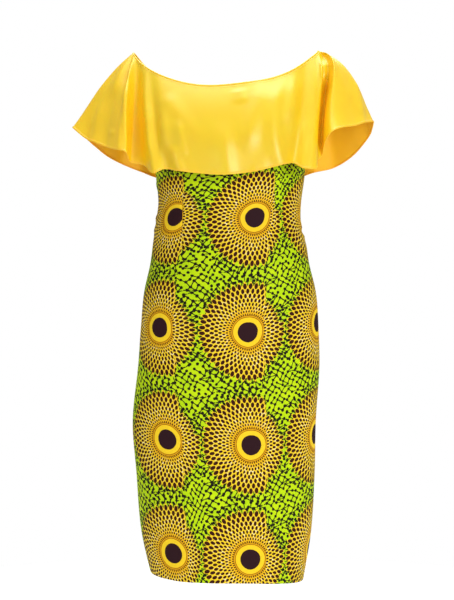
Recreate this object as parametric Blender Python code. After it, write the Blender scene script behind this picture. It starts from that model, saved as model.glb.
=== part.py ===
"""Cape dress: a fitted sheath of printed cotton under a wide-necked satin cape.

Units are metres, +Z is up, the front faces -Y and +X is the wearer's left. The origin lies between the
two points where the neckline crosses the shoulders, which is where the wearer holds the dress up. Every
piece of cloth is a thin wall: its outer points come from a smooth surface and its inner points are those
moved in by the cloth's thickness.
"""

import math
from collections import namedtuple
from functools import lru_cache

import bmesh
import bpy
from mathutils import Vector

# Cloth and seams
COTTON = 0.0014
SATIN = 0.0012
SEAM_GAP = 0.0003

# Sheath: heights below the shoulders, the share of the rise to the top edge that goes straight on up from the
# chest, and the hem, which hangs a little askew
UNDERARM_Z = -0.155
CHEST_Z = -0.182
CHEST_RISE = 0.5
HEM_FRONT_Z = -1.036
HEM_BACK_Z = -1.044
HEM_RIGHT_SIDE_Z = -1.036
HEM_LEFT_SIDE_Z = -1.052
SECTION_POWER = 2.25
SLIT_TOP_Z = -0.830
SLIT_GAP = 0.007

# Columns of a half panel under the neckline, the shoulder seam and the armhole
NECK_COLUMNS = 13
STRAP_COLUMNS = 2
ARMHOLE_COLUMNS = 7
HALF_COLUMNS = NECK_COLUMNS + STRAP_COLUMNS + ARMHOLE_COLUMNS
NECK_SHARE = NECK_COLUMNS / HALF_COLUMNS
STRAP_SHARE = (NECK_COLUMNS + STRAP_COLUMNS) / HALF_COLUMNS

# Neckline and shoulder seam: how far the sheath's top edge is drawn in under the binding, the seam's outer
# end as a share of the cape's fall, and how far that end lies under the cape
NECK_DRAWN_IN = 0.0015
STRAP_DROP = 0.08
STRAP_CLEARANCE = 0.006

# Armhole: its edge is drawn towards a point at this distance before or behind the side seam, at this share
# of the shoulder seam's distance from the middle and this share of the underarm's depth
ARMHOLE_REACH = 0.085
ARMHOLE_BOW_WIDTH = 0.78
ARMHOLE_BOW_DEPTH = 0.75

# How evenly the folds' knots are spaced: 1 by the distance between them along the hem, 0 all alike
FOLD_SPACING_POWER = 0.6

# Facets, and the steps and halvings that find a place on a curve
UPPER_ROWS = 7
LOWER_ROWS = 20
CAPE_STEPS = 3
CAPE_ROWS = 10
BINDING_SIDES = 6
SECTION_STEPS = 120
HALVINGS = 40
NUDGE = 1e-3

# Binding round the neckline
BINDING_WIDTH = 0.0048
BINDING_HEIGHT = 0.0040

# Horizontal sections of the worn sheath. right and left are the wearer's half widths, front and back the
# depths in front of and behind the side seams.
BodyRow = namedtuple("BodyRow", "z right left front back")
BODY_ROWS = [
    BodyRow(-0.120, 0.134, 0.138, 0.106, 0.101),
    BodyRow(-0.150, 0.138, 0.143, 0.114, 0.101),
    BodyRow(-0.200, 0.144, 0.153, 0.126, 0.098),
    BodyRow(-0.242, 0.142, 0.155, 0.120, 0.092),
    BodyRow(-0.298, 0.137, 0.148, 0.108, 0.085),
    BodyRow(-0.332, 0.141, 0.147, 0.105, 0.085),
    BodyRow(-0.360, 0.145, 0.150, 0.107, 0.090),
    BodyRow(-0.382, 0.148, 0.158, 0.109, 0.096),
    BodyRow(-0.420, 0.153, 0.164, 0.113, 0.108),
    BodyRow(-0.480, 0.166, 0.178, 0.117, 0.126),
    BodyRow(-0.546, 0.172, 0.183, 0.119, 0.134),
    BodyRow(-0.626, 0.178, 0.185, 0.119, 0.128),
    BodyRow(-0.736, 0.189, 0.178, 0.118, 0.118),
    BodyRow(-0.836, 0.182, 0.176, 0.117, 0.114),
    BodyRow(-0.956, 0.172, 0.169, 0.116, 0.112),
    BodyRow(-1.060, 0.148, 0.152, 0.115, 0.111),
]

# The cape's neckline, once round from the wearer's right shoulder by the front
NeckRow = namedtuple("NeckRow", "x y z")
NECK_ROWS = [
    NeckRow(-0.1880, 0.000, -0.0030),
    NeckRow(-0.1723, -0.028, -0.0250),
    NeckRow(-0.1330, -0.065, -0.0520),
    NeckRow(-0.0810, -0.090, -0.0710),
    NeckRow(-0.0300, -0.099, -0.0770),
    NeckRow(0.0430, -0.097, -0.0700),
    NeckRow(0.0843, -0.087, -0.0620),
    NeckRow(0.1180, -0.072, -0.0490),
    NeckRow(0.1480, -0.047, -0.0300),
    NeckRow(0.1850, 0.000, 0.0010),
    NeckRow(0.1500, 0.055, -0.0310),
    NeckRow(0.0800, 0.088, -0.0530),
    NeckRow(0.0000, 0.098, -0.0620),
    NeckRow(-0.0800, 0.088, -0.0560),
    NeckRow(-0.1500, 0.055, -0.0370),
]
LEFT_SHOULDER_ROW = 9

# The cape's folds, once round from the wearer's right shoulder by the front. neck is where the fold starts
# on the neckline (-1 right shoulder, 1 left shoulder, 3 right shoulder again), x y z is its end on the hem,
# out, up and lean (towards the back) are how far the cloth swells from the straight line between them,
# most at the share peak.
FoldRow = namedtuple("FoldRow", "name neck x y z out up lean peak")
FOLD_ROWS = [
    FoldRow("right seam", -1.000, -0.309, 0.000, -0.150, 0.006, 0.006, 0.000, 0.36),
    FoldRow("right sleeve", -0.985, -0.276, -0.035, -0.176, 0.009, 0.008, 0.000, 0.35),
    FoldRow("right sleeve front", -0.965, -0.243, -0.075, -0.189, 0.011, 0.008, 0.000, 0.38),
    FoldRow("right roll side", -0.945, -0.214, -0.105, -0.200, 0.002, 0.007, 0.000, 0.42),
    FoldRow("right roll crest", -0.915, -0.193, -0.123, -0.205, 0.010, 0.007, 0.000, 0.38),
    FoldRow("right trough", -0.870, -0.187, -0.090, -0.222, 0.000, 0.003, 0.000, 0.40),
    FoldRow("right trough side", -0.820, -0.161, -0.096, -0.229, 0.003, 0.003, 0.000, 0.45),
    FoldRow("right pleat crest", -0.740, -0.140, -0.140, -0.246, 0.010, 0.003, 0.000, 0.45),
    FoldRow("right pleat foot", -0.660, -0.117, -0.134, -0.238, 0.010, 0.000, 0.000, 0.50),
    FoldRow("right front", -0.560, -0.092, -0.152, -0.242, 0.014, 0.000, 0.000, 0.50),
    FoldRow("front right of centre", -0.340, -0.053, -0.157, -0.2465, 0.016, 0.000, 0.000, 0.50),
    FoldRow("front centre", -0.050, -0.006, -0.159, -0.249, 0.017, 0.000, 0.000, 0.50),
    FoldRow("front left of centre", 0.220, 0.042, -0.157, -0.2445, 0.016, 0.000, 0.000, 0.50),
    FoldRow("left front", 0.400, 0.074, -0.155, -0.238, 0.016, 0.000, 0.000, 0.50),
    FoldRow("left front dip", 0.570, 0.106, -0.142, -0.229, 0.014, 0.000, 0.000, 0.50),
    FoldRow("left front trough", 0.700, 0.127, -0.128, -0.2265, 0.010, 0.000, 0.000, 0.50),
    FoldRow("left pleat foot", 0.800, 0.144, -0.134, -0.237, 0.012, 0.002, 0.000, 0.45),
    FoldRow("left pleat crest", 0.880, 0.159, -0.140, -0.238, 0.008, 0.004, 0.000, 0.35),
    FoldRow("left pleat edge", 0.925, 0.171, -0.130, -0.2355, 0.009, 0.005, 0.000, 0.26),
    FoldRow("left trough wall", 0.945, 0.174, -0.100, -0.220, 0.010, 0.007, 0.010, 0.26),
    FoldRow("left trough", 0.958, 0.184, -0.084, -0.210, 0.016, 0.011, 0.014, 0.26),
    FoldRow("left roll wall", 0.975, 0.188, -0.104, -0.186, 0.024, 0.015, 0.000, 0.26),
    FoldRow("left roll crest", 0.985, 0.200, -0.120, -0.166, 0.024, 0.016, 0.000, 0.28),
    FoldRow("left roll side", 0.991, 0.221, -0.108, -0.157, 0.020, 0.016, 0.000, 0.31),
    FoldRow("left sleeve front", 0.996, 0.249, -0.075, -0.1515, 0.017, 0.017, 0.000, 0.36),
    FoldRow("left seam", 1.000, 0.291, 0.000, -0.139, 0.015, 0.018, 0.000, 0.41),
    FoldRow("left sleeve back", 1.015, 0.291, 0.036, -0.157, 0.014, 0.016, 0.000, 0.40),
    FoldRow("left sleeve heel", 1.075, 0.279, 0.068, -0.180, 0.012, 0.014, 0.000, 0.36),
    FoldRow("left back roll", 1.120, 0.256, 0.100, -0.206, 0.012, 0.012, 0.000, 0.36),
    FoldRow("left back crest", 1.200, 0.222, 0.130, -0.226, 0.012, 0.008, 0.000, 0.40),
    FoldRow("left back trough", 1.310, 0.181, 0.116, -0.236, 0.004, 0.003, 0.000, 0.45),
    FoldRow("left back flute", 1.440, 0.140, 0.150, -0.249, 0.010, 0.000, 0.000, 0.50),
    FoldRow("left back dip", 1.610, 0.098, 0.136, -0.250, 0.006, 0.000, 0.000, 0.50),
    FoldRow("back flute left", 1.780, 0.055, 0.158, -0.256, 0.009, 0.000, 0.000, 0.50),
    FoldRow("back centre", 2.000, 0.000, 0.144, -0.254, 0.007, 0.000, 0.000, 0.50),
    FoldRow("back flute right", 2.220, -0.057, 0.158, -0.256, 0.009, 0.000, 0.000, 0.50),
    FoldRow("right back dip", 2.400, -0.100, 0.135, -0.249, 0.006, 0.000, 0.000, 0.50),
    FoldRow("right back flute", 2.560, -0.142, 0.149, -0.247, 0.010, 0.000, 0.000, 0.50),
    FoldRow("right back trough", 2.690, -0.180, 0.116, -0.234, 0.004, 0.003, 0.000, 0.45),
    FoldRow("right back crest", 2.800, -0.219, 0.124, -0.218, 0.011, 0.006, 0.000, 0.40),
    FoldRow("right back roll", 2.880, -0.246, 0.092, -0.204, 0.010, 0.008, 0.000, 0.36),
    FoldRow("right sleeve heel", 2.930, -0.268, 0.062, -0.186, 0.008, 0.008, 0.000, 0.34),
    FoldRow("right sleeve back", 2.968, -0.291, 0.032, -0.165, 0.006, 0.007, 0.000, 0.35),
]
LEFT_SEAM_ROW = 25

# Colours, roughness and metallic value of the two cloths
Cloth = namedtuple("Cloth", "name colour roughness metallic")
PRINT = Cloth("printed cotton", (0.72, 0.52, 0.03, 1.0), 0.80, 0.0)
YELLOW_SATIN = Cloth("yellow satin", (0.93, 0.62, 0.03, 1.0), 0.35, 0.0)


def remove_scene_objects():
    for thing in list(bpy.data.objects):
        bpy.data.objects.remove(thing)


def cloth_material(cloth):
    material = bpy.data.materials.new(cloth.name)
    material.use_nodes = True
    shader = material.node_tree.nodes["Principled BSDF"]
    shader.inputs["Base Color"].default_value = cloth.colour
    shader.inputs["Roughness"].default_value = cloth.roughness
    shader.inputs["Metallic"].default_value = cloth.metallic
    return material


def smooth_curve(knots, points, period=None):
    """A function of the knot value that passes smoothly through points, round and round if it has a period."""
    if period:
        count = len(knots)
        knots = [knots[i % count] + period * (i // count) for i in range(-2, count + 3)]
        points = [points[i % count] for i in range(-2, count + 3)]

    def slope(i):
        before = max(i - 1, 0)
        after = min(i + 1, len(knots) - 1)
        return (points[after] - points[before]) / (knots[after] - knots[before])

    slopes = [slope(i) for i in range(len(knots))]
    first, last = (2, len(knots) - 3) if period else (0, len(knots) - 1)

    def at(value):
        if period:
            value = knots[first] + (value - knots[first]) % period
        i = first
        while i < last - 1 and value > knots[i + 1]:
            i += 1
        span = knots[i + 1] - knots[i]
        t = (value - knots[i]) / span
        t2, t3 = t * t, t * t * t
        return (
            points[i] * (2 * t3 - 3 * t2 + 1)
            + slopes[i] * (span * (t3 - 2 * t2 + t))
            + points[i + 1] * (3 * t2 - 2 * t3)
            + slopes[i + 1] * (span * (t3 - t2))
        )

    return at


def chord_knots(points, power=1.0):
    """Knot values that grow with the distance between points, and the whole way round."""
    knots = [0.0]
    for before, after in zip(points, points[1:] + points[:1]):
        knots.append(knots[-1] + (after - before).length ** power)
    return knots[:-1], knots[-1]


def signed_power(value, power):
    return math.copysign(abs(value) ** power, value)


BODY_WIDTHS = smooth_curve([-row.z for row in BODY_ROWS], [Vector((row.right, row.left)) for row in BODY_ROWS])
BODY_DEPTHS = smooth_curve([-row.z for row in BODY_ROWS], [Vector((row.front, row.back)) for row in BODY_ROWS])


@lru_cache(maxsize=None)
def section_sizes(z):
    right, left = BODY_WIDTHS(-z)
    front, back = BODY_DEPTHS(-z)
    return right, left, front, back


def body_point(angle, z):
    """The sheath's outside at a height. Angle 0 is the centre front and a right angle the wearer's left side."""
    right, left, front, back = section_sizes(z)
    across, ahead = math.sin(angle), math.cos(angle)
    x = (left if across > 0 else right) * signed_power(across, 2 / SECTION_POWER)
    y = -(front if ahead > 0 else back) * signed_power(ahead, 2 / SECTION_POWER)
    return Vector((x, y, z))


@lru_cache(maxsize=None)
def quarter_lengths(z, quarter):
    """Lengths along a quarter of the section, from the centre line to the side seam or from there to the back."""
    angles = [math.pi / 2 * (quarter + i / SECTION_STEPS) for i in range(SECTION_STEPS + 1)]
    points = [body_point(angle, z) for angle in angles]
    lengths = [0.0]
    for before, after in zip(points, points[1:]):
        lengths.append(lengths[-1] + (after - before).length)
    return angles, lengths


def even_angle(z, turn):
    """The angle at a share of the way round, where each quarter of the section counts 1 and its length is even."""
    quarter = math.floor(turn)
    angles, lengths = quarter_lengths(z, quarter)
    target = (turn - quarter) * lengths[-1]
    i = 0
    while i < SECTION_STEPS - 1 and lengths[i + 1] < target:
        i += 1
    share = (target - lengths[i]) / (lengths[i + 1] - lengths[i])
    return angles[i] + (angles[i + 1] - angles[i]) * share


def hem_height(angle):
    front_share = math.cos(angle) ** 2
    middle = HEM_FRONT_Z if math.cos(angle) > 0 else HEM_BACK_Z
    side = HEM_LEFT_SIDE_Z if math.sin(angle) > 0 else HEM_RIGHT_SIDE_Z
    return middle * front_share + side * (1 - front_share)


NECK_POINTS = [Vector(row) for row in NECK_ROWS]
NECK_KNOTS, NECK_LENGTH = chord_knots(NECK_POINTS)
NECK_CURVE = smooth_curve(NECK_KNOTS, NECK_POINTS, NECK_LENGTH)


def neck_point(share):
    """The neckline at a share: -1 to 1 runs by the front from right to left, and 1 to 3 back round behind."""
    front_length = NECK_KNOTS[LEFT_SHOULDER_ROW]
    if share <= 1:
        return NECK_CURVE((share + 1) / 2 * front_length)
    return NECK_CURVE(front_length + (share - 1) / 2 * (NECK_LENGTH - front_length))


FOLD_HEMS = [Vector((row.x, row.y, row.z)) for row in FOLD_ROWS]
FOLD_KNOTS, FOLD_LENGTH = chord_knots(FOLD_HEMS, FOLD_SPACING_POWER)
FOLD_CURVE = smooth_curve(FOLD_KNOTS, FOLD_HEMS, FOLD_LENGTH)
SWELL_CURVE = smooth_curve(
    FOLD_KNOTS, [Vector((row.out, row.up, row.lean, row.peak)) for row in FOLD_ROWS], FOLD_LENGTH
)
NECK_STARTS = smooth_curve(
    FOLD_KNOTS + [FOLD_LENGTH], [Vector((row.neck, 0)) for row in FOLD_ROWS] + [Vector((3, 0))]
)


def cape_point(place, drop):
    """The cape's outside: place runs round the hem in the folds' own knots, drop from 0 at the neck to 1."""
    place %= FOLD_LENGTH
    start = neck_point(NECK_STARTS(place)[0])
    end = FOLD_CURVE(place)
    out, up, lean, peak = SWELL_CURVE(place)
    fall = (1 - peak) / peak
    swell = drop * signed_power(1 - drop, fall) / (peak * (1 - peak) ** fall)
    away = Vector((end.x, end.y, 0)).normalized()
    back = Vector((0, lean, 0))
    return start.lerp(end, drop) + (away * out + back + Vector((0, 0, up))) * swell


def surface_frame(surface, across, along):
    """A surface's point, outward normal and directions across and along it, from small steps either way."""
    step_across = surface(across + NUDGE, along) - surface(across - NUDGE, along)
    step_along = surface(across, along + NUDGE) - surface(across, along - NUDGE)
    normal = step_along.cross(step_across).normalized()
    return surface(across, along), normal, step_across.normalized(), step_along.normalized()


@lru_cache(maxsize=None)
def place_of_neck(share):
    """The place round the cape whose fold starts at a share of the neckline, found by halving."""
    low, high = 0.0, FOLD_LENGTH
    for _ in range(HALVINGS):
        middle = (low + high) / 2
        if NECK_STARTS(middle)[0] < share:
            low = middle
        else:
            high = middle
    return low


def neck_frame(share):
    """The cape's frame at its neck edge: point, outward normal, and the directions along the edge and down."""
    return surface_frame(cape_point, place_of_neck(share), NUDGE)


def neck_seam(share):
    """Where the sheath's top edge lies at the neckline: just inside the cape's wall."""
    point, normal, _, _ = neck_frame(share)
    return point - normal * (SATIN + SEAM_GAP)


def neck_share(turn):
    """The share of the neckline above a place round the sheath."""
    turn = (turn + 1) % 4 - 1
    if turn <= 1:
        return turn / NECK_SHARE
    return 2 + (turn - 2) / NECK_SHARE


def strap_tip(side):
    """The shoulder seam's outer end, under the cape. side is -1 on the wearer's right and 1 on the left."""
    point, normal, _, _ = surface_frame(cape_point, place_of_neck(side), STRAP_DROP)
    return point - normal * STRAP_CLEARANCE


@lru_cache(maxsize=None)
def top_edge(turn):
    """The sheath's top edge: neckline, shoulder seam, then armhole. turn is 0 at the centre front, 1 at the
    wearer's left side seam, 2 at the centre back and -1 at the right side seam."""
    turn = (turn + 1) % 4 - 1
    ahead = -1 if turn <= 1 else 1
    side = 1 if 0 <= turn <= 2 else -1
    share = abs(turn) if turn <= 1 else abs(turn - 2)
    if share <= NECK_SHARE:
        return neck_seam(neck_share(turn))
    tip = strap_tip(side)
    if share <= STRAP_SHARE:
        return neck_seam(side).lerp(tip, (share - NECK_SHARE) / (STRAP_SHARE - NECK_SHARE))
    t = (share - STRAP_SHARE) / (1 - STRAP_SHARE)
    foot = body_point(side * math.pi / 2, UNDERARM_Z)
    bow = Vector((tip.x * ARMHOLE_BOW_WIDTH, ARMHOLE_REACH * ahead, UNDERARM_Z * ARMHOLE_BOW_DEPTH))
    return tip * (1 - t) ** 2 + bow * 2 * t * (1 - t) + foot * t * t


def sheath_point(turn, level):
    """The sheath's outside. level 0 is the chest line, 1 the hem and -1 the top edge."""
    if level <= 0:
        top = top_edge(turn)
        angle = even_angle(CHEST_Z, turn)
        foot = body_point(angle, CHEST_Z)
        above = body_point(angle, CHEST_Z + NUDGE)
        rise = (above - foot) * ((top.z - foot.z) * CHEST_RISE / NUDGE)
        t = -level
        return foot * (1 - t) ** 2 + (foot + rise) * 2 * t * (1 - t) + top * t * t
    angle = even_angle(CHEST_Z + (HEM_FRONT_Z - CHEST_Z) * level, turn)
    return body_point(angle, CHEST_Z + (hem_height(angle) - CHEST_Z) * level)


def sheath_edge(turn, normal):
    """How the sheath's top edge is turned: along the cape's wall at the neckline, mitred at the shoulder seam,
    and square at the armhole. Returns the direction of its thickness, and how far it is drawn in."""
    share = abs(turn) if turn <= 1 else abs(turn - 2)
    if share < NECK_SHARE + NUDGE:
        return neck_frame(neck_share(turn))[1], NECK_DRAWN_IN
    if share < STRAP_SHARE + NUDGE:
        other = surface_frame(sheath_point, 2 - turn, -1)[1]
        return (normal + other) / (1 + normal.dot(other)), SEAM_GAP
    return normal, 0


def plain_edge(across, normal):
    return normal, 0


def cloth_points(surface, acrosses, alongs, thickness, side_gap, top_edge_turn):
    """Rows of outer and inner points. side_gap(along, edge) draws the first and last columns in from the seam,
    and top_edge_turn(across, normal) turns the thickness of the top row and draws it in."""
    outer, inner = [], []
    for row, along in enumerate(alongs):
        outer.append([])
        inner.append([])
        for column, across in enumerate(acrosses):
            point, normal, sideways, down = surface_frame(surface, across, along)
            if row == 0:
                normal, drawn = top_edge_turn(across, normal)
                point = point + down * drawn
            if column == 0:
                point = point + sideways * side_gap(along, 0)
            if column == len(acrosses) - 1:
                point = point - sideways * side_gap(along, 1)
            outer[row].append(point)
            inner[row].append(point - normal * thickness)
    return outer, inner


def cloth_object(name, outer, inner, material):
    """One closed wall between two grids of points, with a rim round its four edges."""
    mesh = bmesh.new()
    fronts = [[mesh.verts.new(point) for point in row] for row in outer]
    backs = [[mesh.verts.new(point) for point in row] for row in inner]
    rows, columns = len(outer), len(outer[0])
    for r in range(rows - 1):
        for c in range(columns - 1):
            mesh.faces.new((fronts[r][c], fronts[r + 1][c], fronts[r + 1][c + 1], fronts[r][c + 1]))
            mesh.faces.new((backs[r][c], backs[r][c + 1], backs[r + 1][c + 1], backs[r + 1][c]))
    for c in range(columns - 1):
        mesh.faces.new((fronts[0][c], fronts[0][c + 1], backs[0][c + 1], backs[0][c]))
        mesh.faces.new((fronts[-1][c + 1], fronts[-1][c], backs[-1][c], backs[-1][c + 1]))
    for r in range(rows - 1):
        mesh.faces.new((fronts[r + 1][0], fronts[r][0], backs[r][0], backs[r + 1][0]))
        mesh.faces.new((fronts[r][-1], fronts[r + 1][-1], backs[r + 1][-1], backs[r][-1]))
    return link_object(name, mesh, material)


def link_object(name, mesh, material):
    data = bpy.data.meshes.new(name)
    mesh.to_mesh(data)
    mesh.free()
    data.shade_smooth()
    data.materials.append(material)
    thing = bpy.data.objects.new(name, data)
    bpy.context.scene.collection.objects.link(thing)
    return thing


def even_steps(start, end, count):
    return [start + (end - start) * i / count for i in range(count + 1)]


def half_seam(along, edge):
    return SEAM_GAP / 2


def centre_back_gap(centre_edge):
    """Half the gap at the centre back, which opens into a slit above the hem."""
    slit_start = (CHEST_Z - SLIT_TOP_Z) / (CHEST_Z - HEM_BACK_Z)

    def gap(along, edge):
        if edge != centre_edge or along <= slit_start:
            return SEAM_GAP / 2
        return SEAM_GAP / 2 + SLIT_GAP / 2 * (along - slit_start) / (1 - slit_start)

    return gap


def sheath_panel(name, first_turn, last_turn, columns, gap, material):
    levels = even_steps(-1, 0, UPPER_ROWS)[:-1] + even_steps(0, 1, LOWER_ROWS)
    turns = even_steps(first_turn, last_turn, columns)
    outer, inner = cloth_points(sheath_point, turns, levels, COTTON, gap, sheath_edge)
    return cloth_object(name, outer, inner, material)


def cape_places(first_row, last_row):
    """Places round the cape, a few steps to each fold from one row of the table to another."""
    knots = FOLD_KNOTS + [FOLD_LENGTH]
    places = []
    for row in range(first_row, last_row):
        places += even_steps(knots[row], knots[row + 1], CAPE_STEPS)[:-1]
    return places + [knots[last_row]]


def cape_panel(name, first_row, last_row, material):
    places = cape_places(first_row, last_row)
    drops = even_steps(0, 1, CAPE_ROWS)
    outer, inner = cloth_points(cape_point, places, drops, SATIN, half_seam, plain_edge)
    return cloth_object(name, outer, inner, material)


def neck_binding(material):
    """A rounded binding laid along the top of the neckline, over the edges of cape and sheath."""
    layers = SATIN + SEAM_GAP + COTTON
    mesh = bmesh.new()
    rings = []
    for place in cape_places(0, len(FOLD_ROWS))[:-1]:
        point, normal, _, down = surface_frame(cape_point, place, NUDGE)
        middle = point - normal * layers / 2 - down * (SEAM_GAP + BINDING_HEIGHT / 2)
        ring = []
        for side in range(BINDING_SIDES):
            angle = 2 * math.pi * side / BINDING_SIDES
            reach = normal * math.cos(angle) * BINDING_WIDTH / 2
            ring.append(mesh.verts.new(middle + reach - down * math.sin(angle) * BINDING_HEIGHT / 2))
        rings.append(ring)
    for before, after in zip(rings, rings[1:] + rings[:1]):
        for side in range(BINDING_SIDES):
            above = (side + 1) % BINDING_SIDES
            mesh.faces.new((before[side], after[side], after[above], before[above]))
    return link_object("neck_binding", mesh, material)


def main():
    remove_scene_objects()
    cotton = cloth_material(PRINT)
    satin = cloth_material(YELLOW_SATIN)
    sheath_panel("front_panel", -1, 1, 2 * HALF_COLUMNS, half_seam, cotton)
    sheath_panel("back_panel_left", 1, 2, HALF_COLUMNS, centre_back_gap(1), cotton)
    sheath_panel("back_panel_right", 2, 3, HALF_COLUMNS, centre_back_gap(0), cotton)
    cape_panel("cape_front", 0, LEFT_SEAM_ROW, satin)
    cape_panel("cape_back", LEFT_SEAM_ROW, len(FOLD_ROWS), satin)
    neck_binding(satin)


main()
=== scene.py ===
"""Cape dress: the finished look of a fitted wax-print sheath under a wide-necked satin cape.

The file is laid out as a Blender add-on and is run as a script. Units are metres, +Z is up, the front
faces -Y and +X is the wearer's left. Cotton and satin are thin walls on the forms of the CAD model, with
their creases, seams, hems and stitches added.
"""

import math
from collections import namedtuple

import bmesh
import bpy
import numpy as np
from bpy.props import FloatProperty, FloatVectorProperty, IntProperty, PointerProperty
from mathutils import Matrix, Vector


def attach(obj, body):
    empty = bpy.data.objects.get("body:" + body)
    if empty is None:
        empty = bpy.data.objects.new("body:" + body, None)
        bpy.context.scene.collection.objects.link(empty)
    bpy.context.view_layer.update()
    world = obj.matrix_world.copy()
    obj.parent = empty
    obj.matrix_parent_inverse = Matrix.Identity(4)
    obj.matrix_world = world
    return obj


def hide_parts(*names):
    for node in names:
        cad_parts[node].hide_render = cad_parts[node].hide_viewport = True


bl_info = {
    "name": "Cape Dress",
    "version": (1, 0, 0),
    "blender": (4, 5, 0),
    "location": "3D View > Sidebar > Cape Dress",
    "description": "Builds a wax-print sheath dress with a satin cape, its stitching and a plain studio",
    "category": "Add Mesh",
}

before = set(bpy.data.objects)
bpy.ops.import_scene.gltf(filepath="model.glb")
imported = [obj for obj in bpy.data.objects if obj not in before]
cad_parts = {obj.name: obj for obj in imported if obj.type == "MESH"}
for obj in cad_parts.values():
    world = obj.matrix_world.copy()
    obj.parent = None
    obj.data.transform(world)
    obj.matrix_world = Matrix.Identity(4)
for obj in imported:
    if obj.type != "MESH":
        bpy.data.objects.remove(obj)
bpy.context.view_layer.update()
BODY = "root"

# Sheath: heights below the shoulders, and the hem, which hangs a little askew
UNDERARM_Z = -0.155
CHEST_Z = -0.182
HEM_FRONT_Z = -1.036
HEM_BACK_Z = -1.044
HEM_RIGHT_SIDE_Z = -1.036
HEM_LEFT_SIDE_Z = -1.052
SECTION_POWER = 2.25
SLIT_TOP_Z = -0.830
SLIT_GAP = 0.007

# How the sheath's top edge is shared between neckline, shoulder seam and armhole, where the shoulder seam
# ends under the cape, how the armholes bow, and how far the cloth runs on straight above the chest
NECK_SHARE = 13 / 22
STRAP_SHARE = 15 / 22
STRAP_DROP = 0.08
STRAP_CLEARANCE = 0.006
ARMHOLE_REACH = 0.085
ARMHOLE_BOW_WIDTH = 0.78
ARMHOLE_BOW_DEPTH = 0.75
YOKE_RISE = 0.5

# The cape's wall at the neckline, how much the spacing of its folds counts where it is smoothed, and the
# small step that directions on a surface are measured with
SATIN_WALL = 0.0015
FOLD_SPACING_POWER = 0.6
NUDGE = 1e-3

# Horizontal sections of the worn sheath: the wearer's half widths, and the depths before and behind
BodyRow = namedtuple("BodyRow", "z right left front back")
BODY_ROWS = [
    BodyRow(-0.120, 0.134, 0.138, 0.106, 0.101),
    BodyRow(-0.150, 0.138, 0.143, 0.114, 0.101),
    BodyRow(-0.200, 0.144, 0.153, 0.126, 0.098),
    BodyRow(-0.242, 0.142, 0.155, 0.120, 0.092),
    BodyRow(-0.298, 0.137, 0.148, 0.108, 0.085),
    BodyRow(-0.332, 0.141, 0.147, 0.105, 0.085),
    BodyRow(-0.360, 0.145, 0.150, 0.107, 0.090),
    BodyRow(-0.382, 0.148, 0.158, 0.109, 0.096),
    BodyRow(-0.420, 0.153, 0.164, 0.113, 0.108),
    BodyRow(-0.480, 0.166, 0.178, 0.117, 0.126),
    BodyRow(-0.546, 0.172, 0.183, 0.119, 0.134),
    BodyRow(-0.626, 0.178, 0.185, 0.119, 0.128),
    BodyRow(-0.736, 0.189, 0.178, 0.118, 0.118),
    BodyRow(-0.836, 0.182, 0.176, 0.117, 0.114),
    BodyRow(-0.956, 0.172, 0.169, 0.116, 0.112),
    BodyRow(-1.060, 0.148, 0.152, 0.115, 0.111),
]

# The cape's neckline, once round from the wearer's right shoulder by the front
NeckRow = namedtuple("NeckRow", "x y z")
NECK_ROWS = [
    NeckRow(-0.1880, 0.000, -0.0030),
    NeckRow(-0.1723, -0.028, -0.0250),
    NeckRow(-0.1330, -0.065, -0.0520),
    NeckRow(-0.0810, -0.090, -0.0710),
    NeckRow(-0.0300, -0.099, -0.0770),
    NeckRow(0.0430, -0.097, -0.0700),
    NeckRow(0.0843, -0.087, -0.0620),
    NeckRow(0.1180, -0.072, -0.0490),
    NeckRow(0.1480, -0.047, -0.0300),
    NeckRow(0.1850, 0.000, 0.0010),
    NeckRow(0.1500, 0.055, -0.0310),
    NeckRow(0.0800, 0.088, -0.0530),
    NeckRow(0.0000, 0.098, -0.0620),
    NeckRow(-0.0800, 0.088, -0.0560),
    NeckRow(-0.1500, 0.055, -0.0370),
]
LEFT_SHOULDER_ROW = 9

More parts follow.
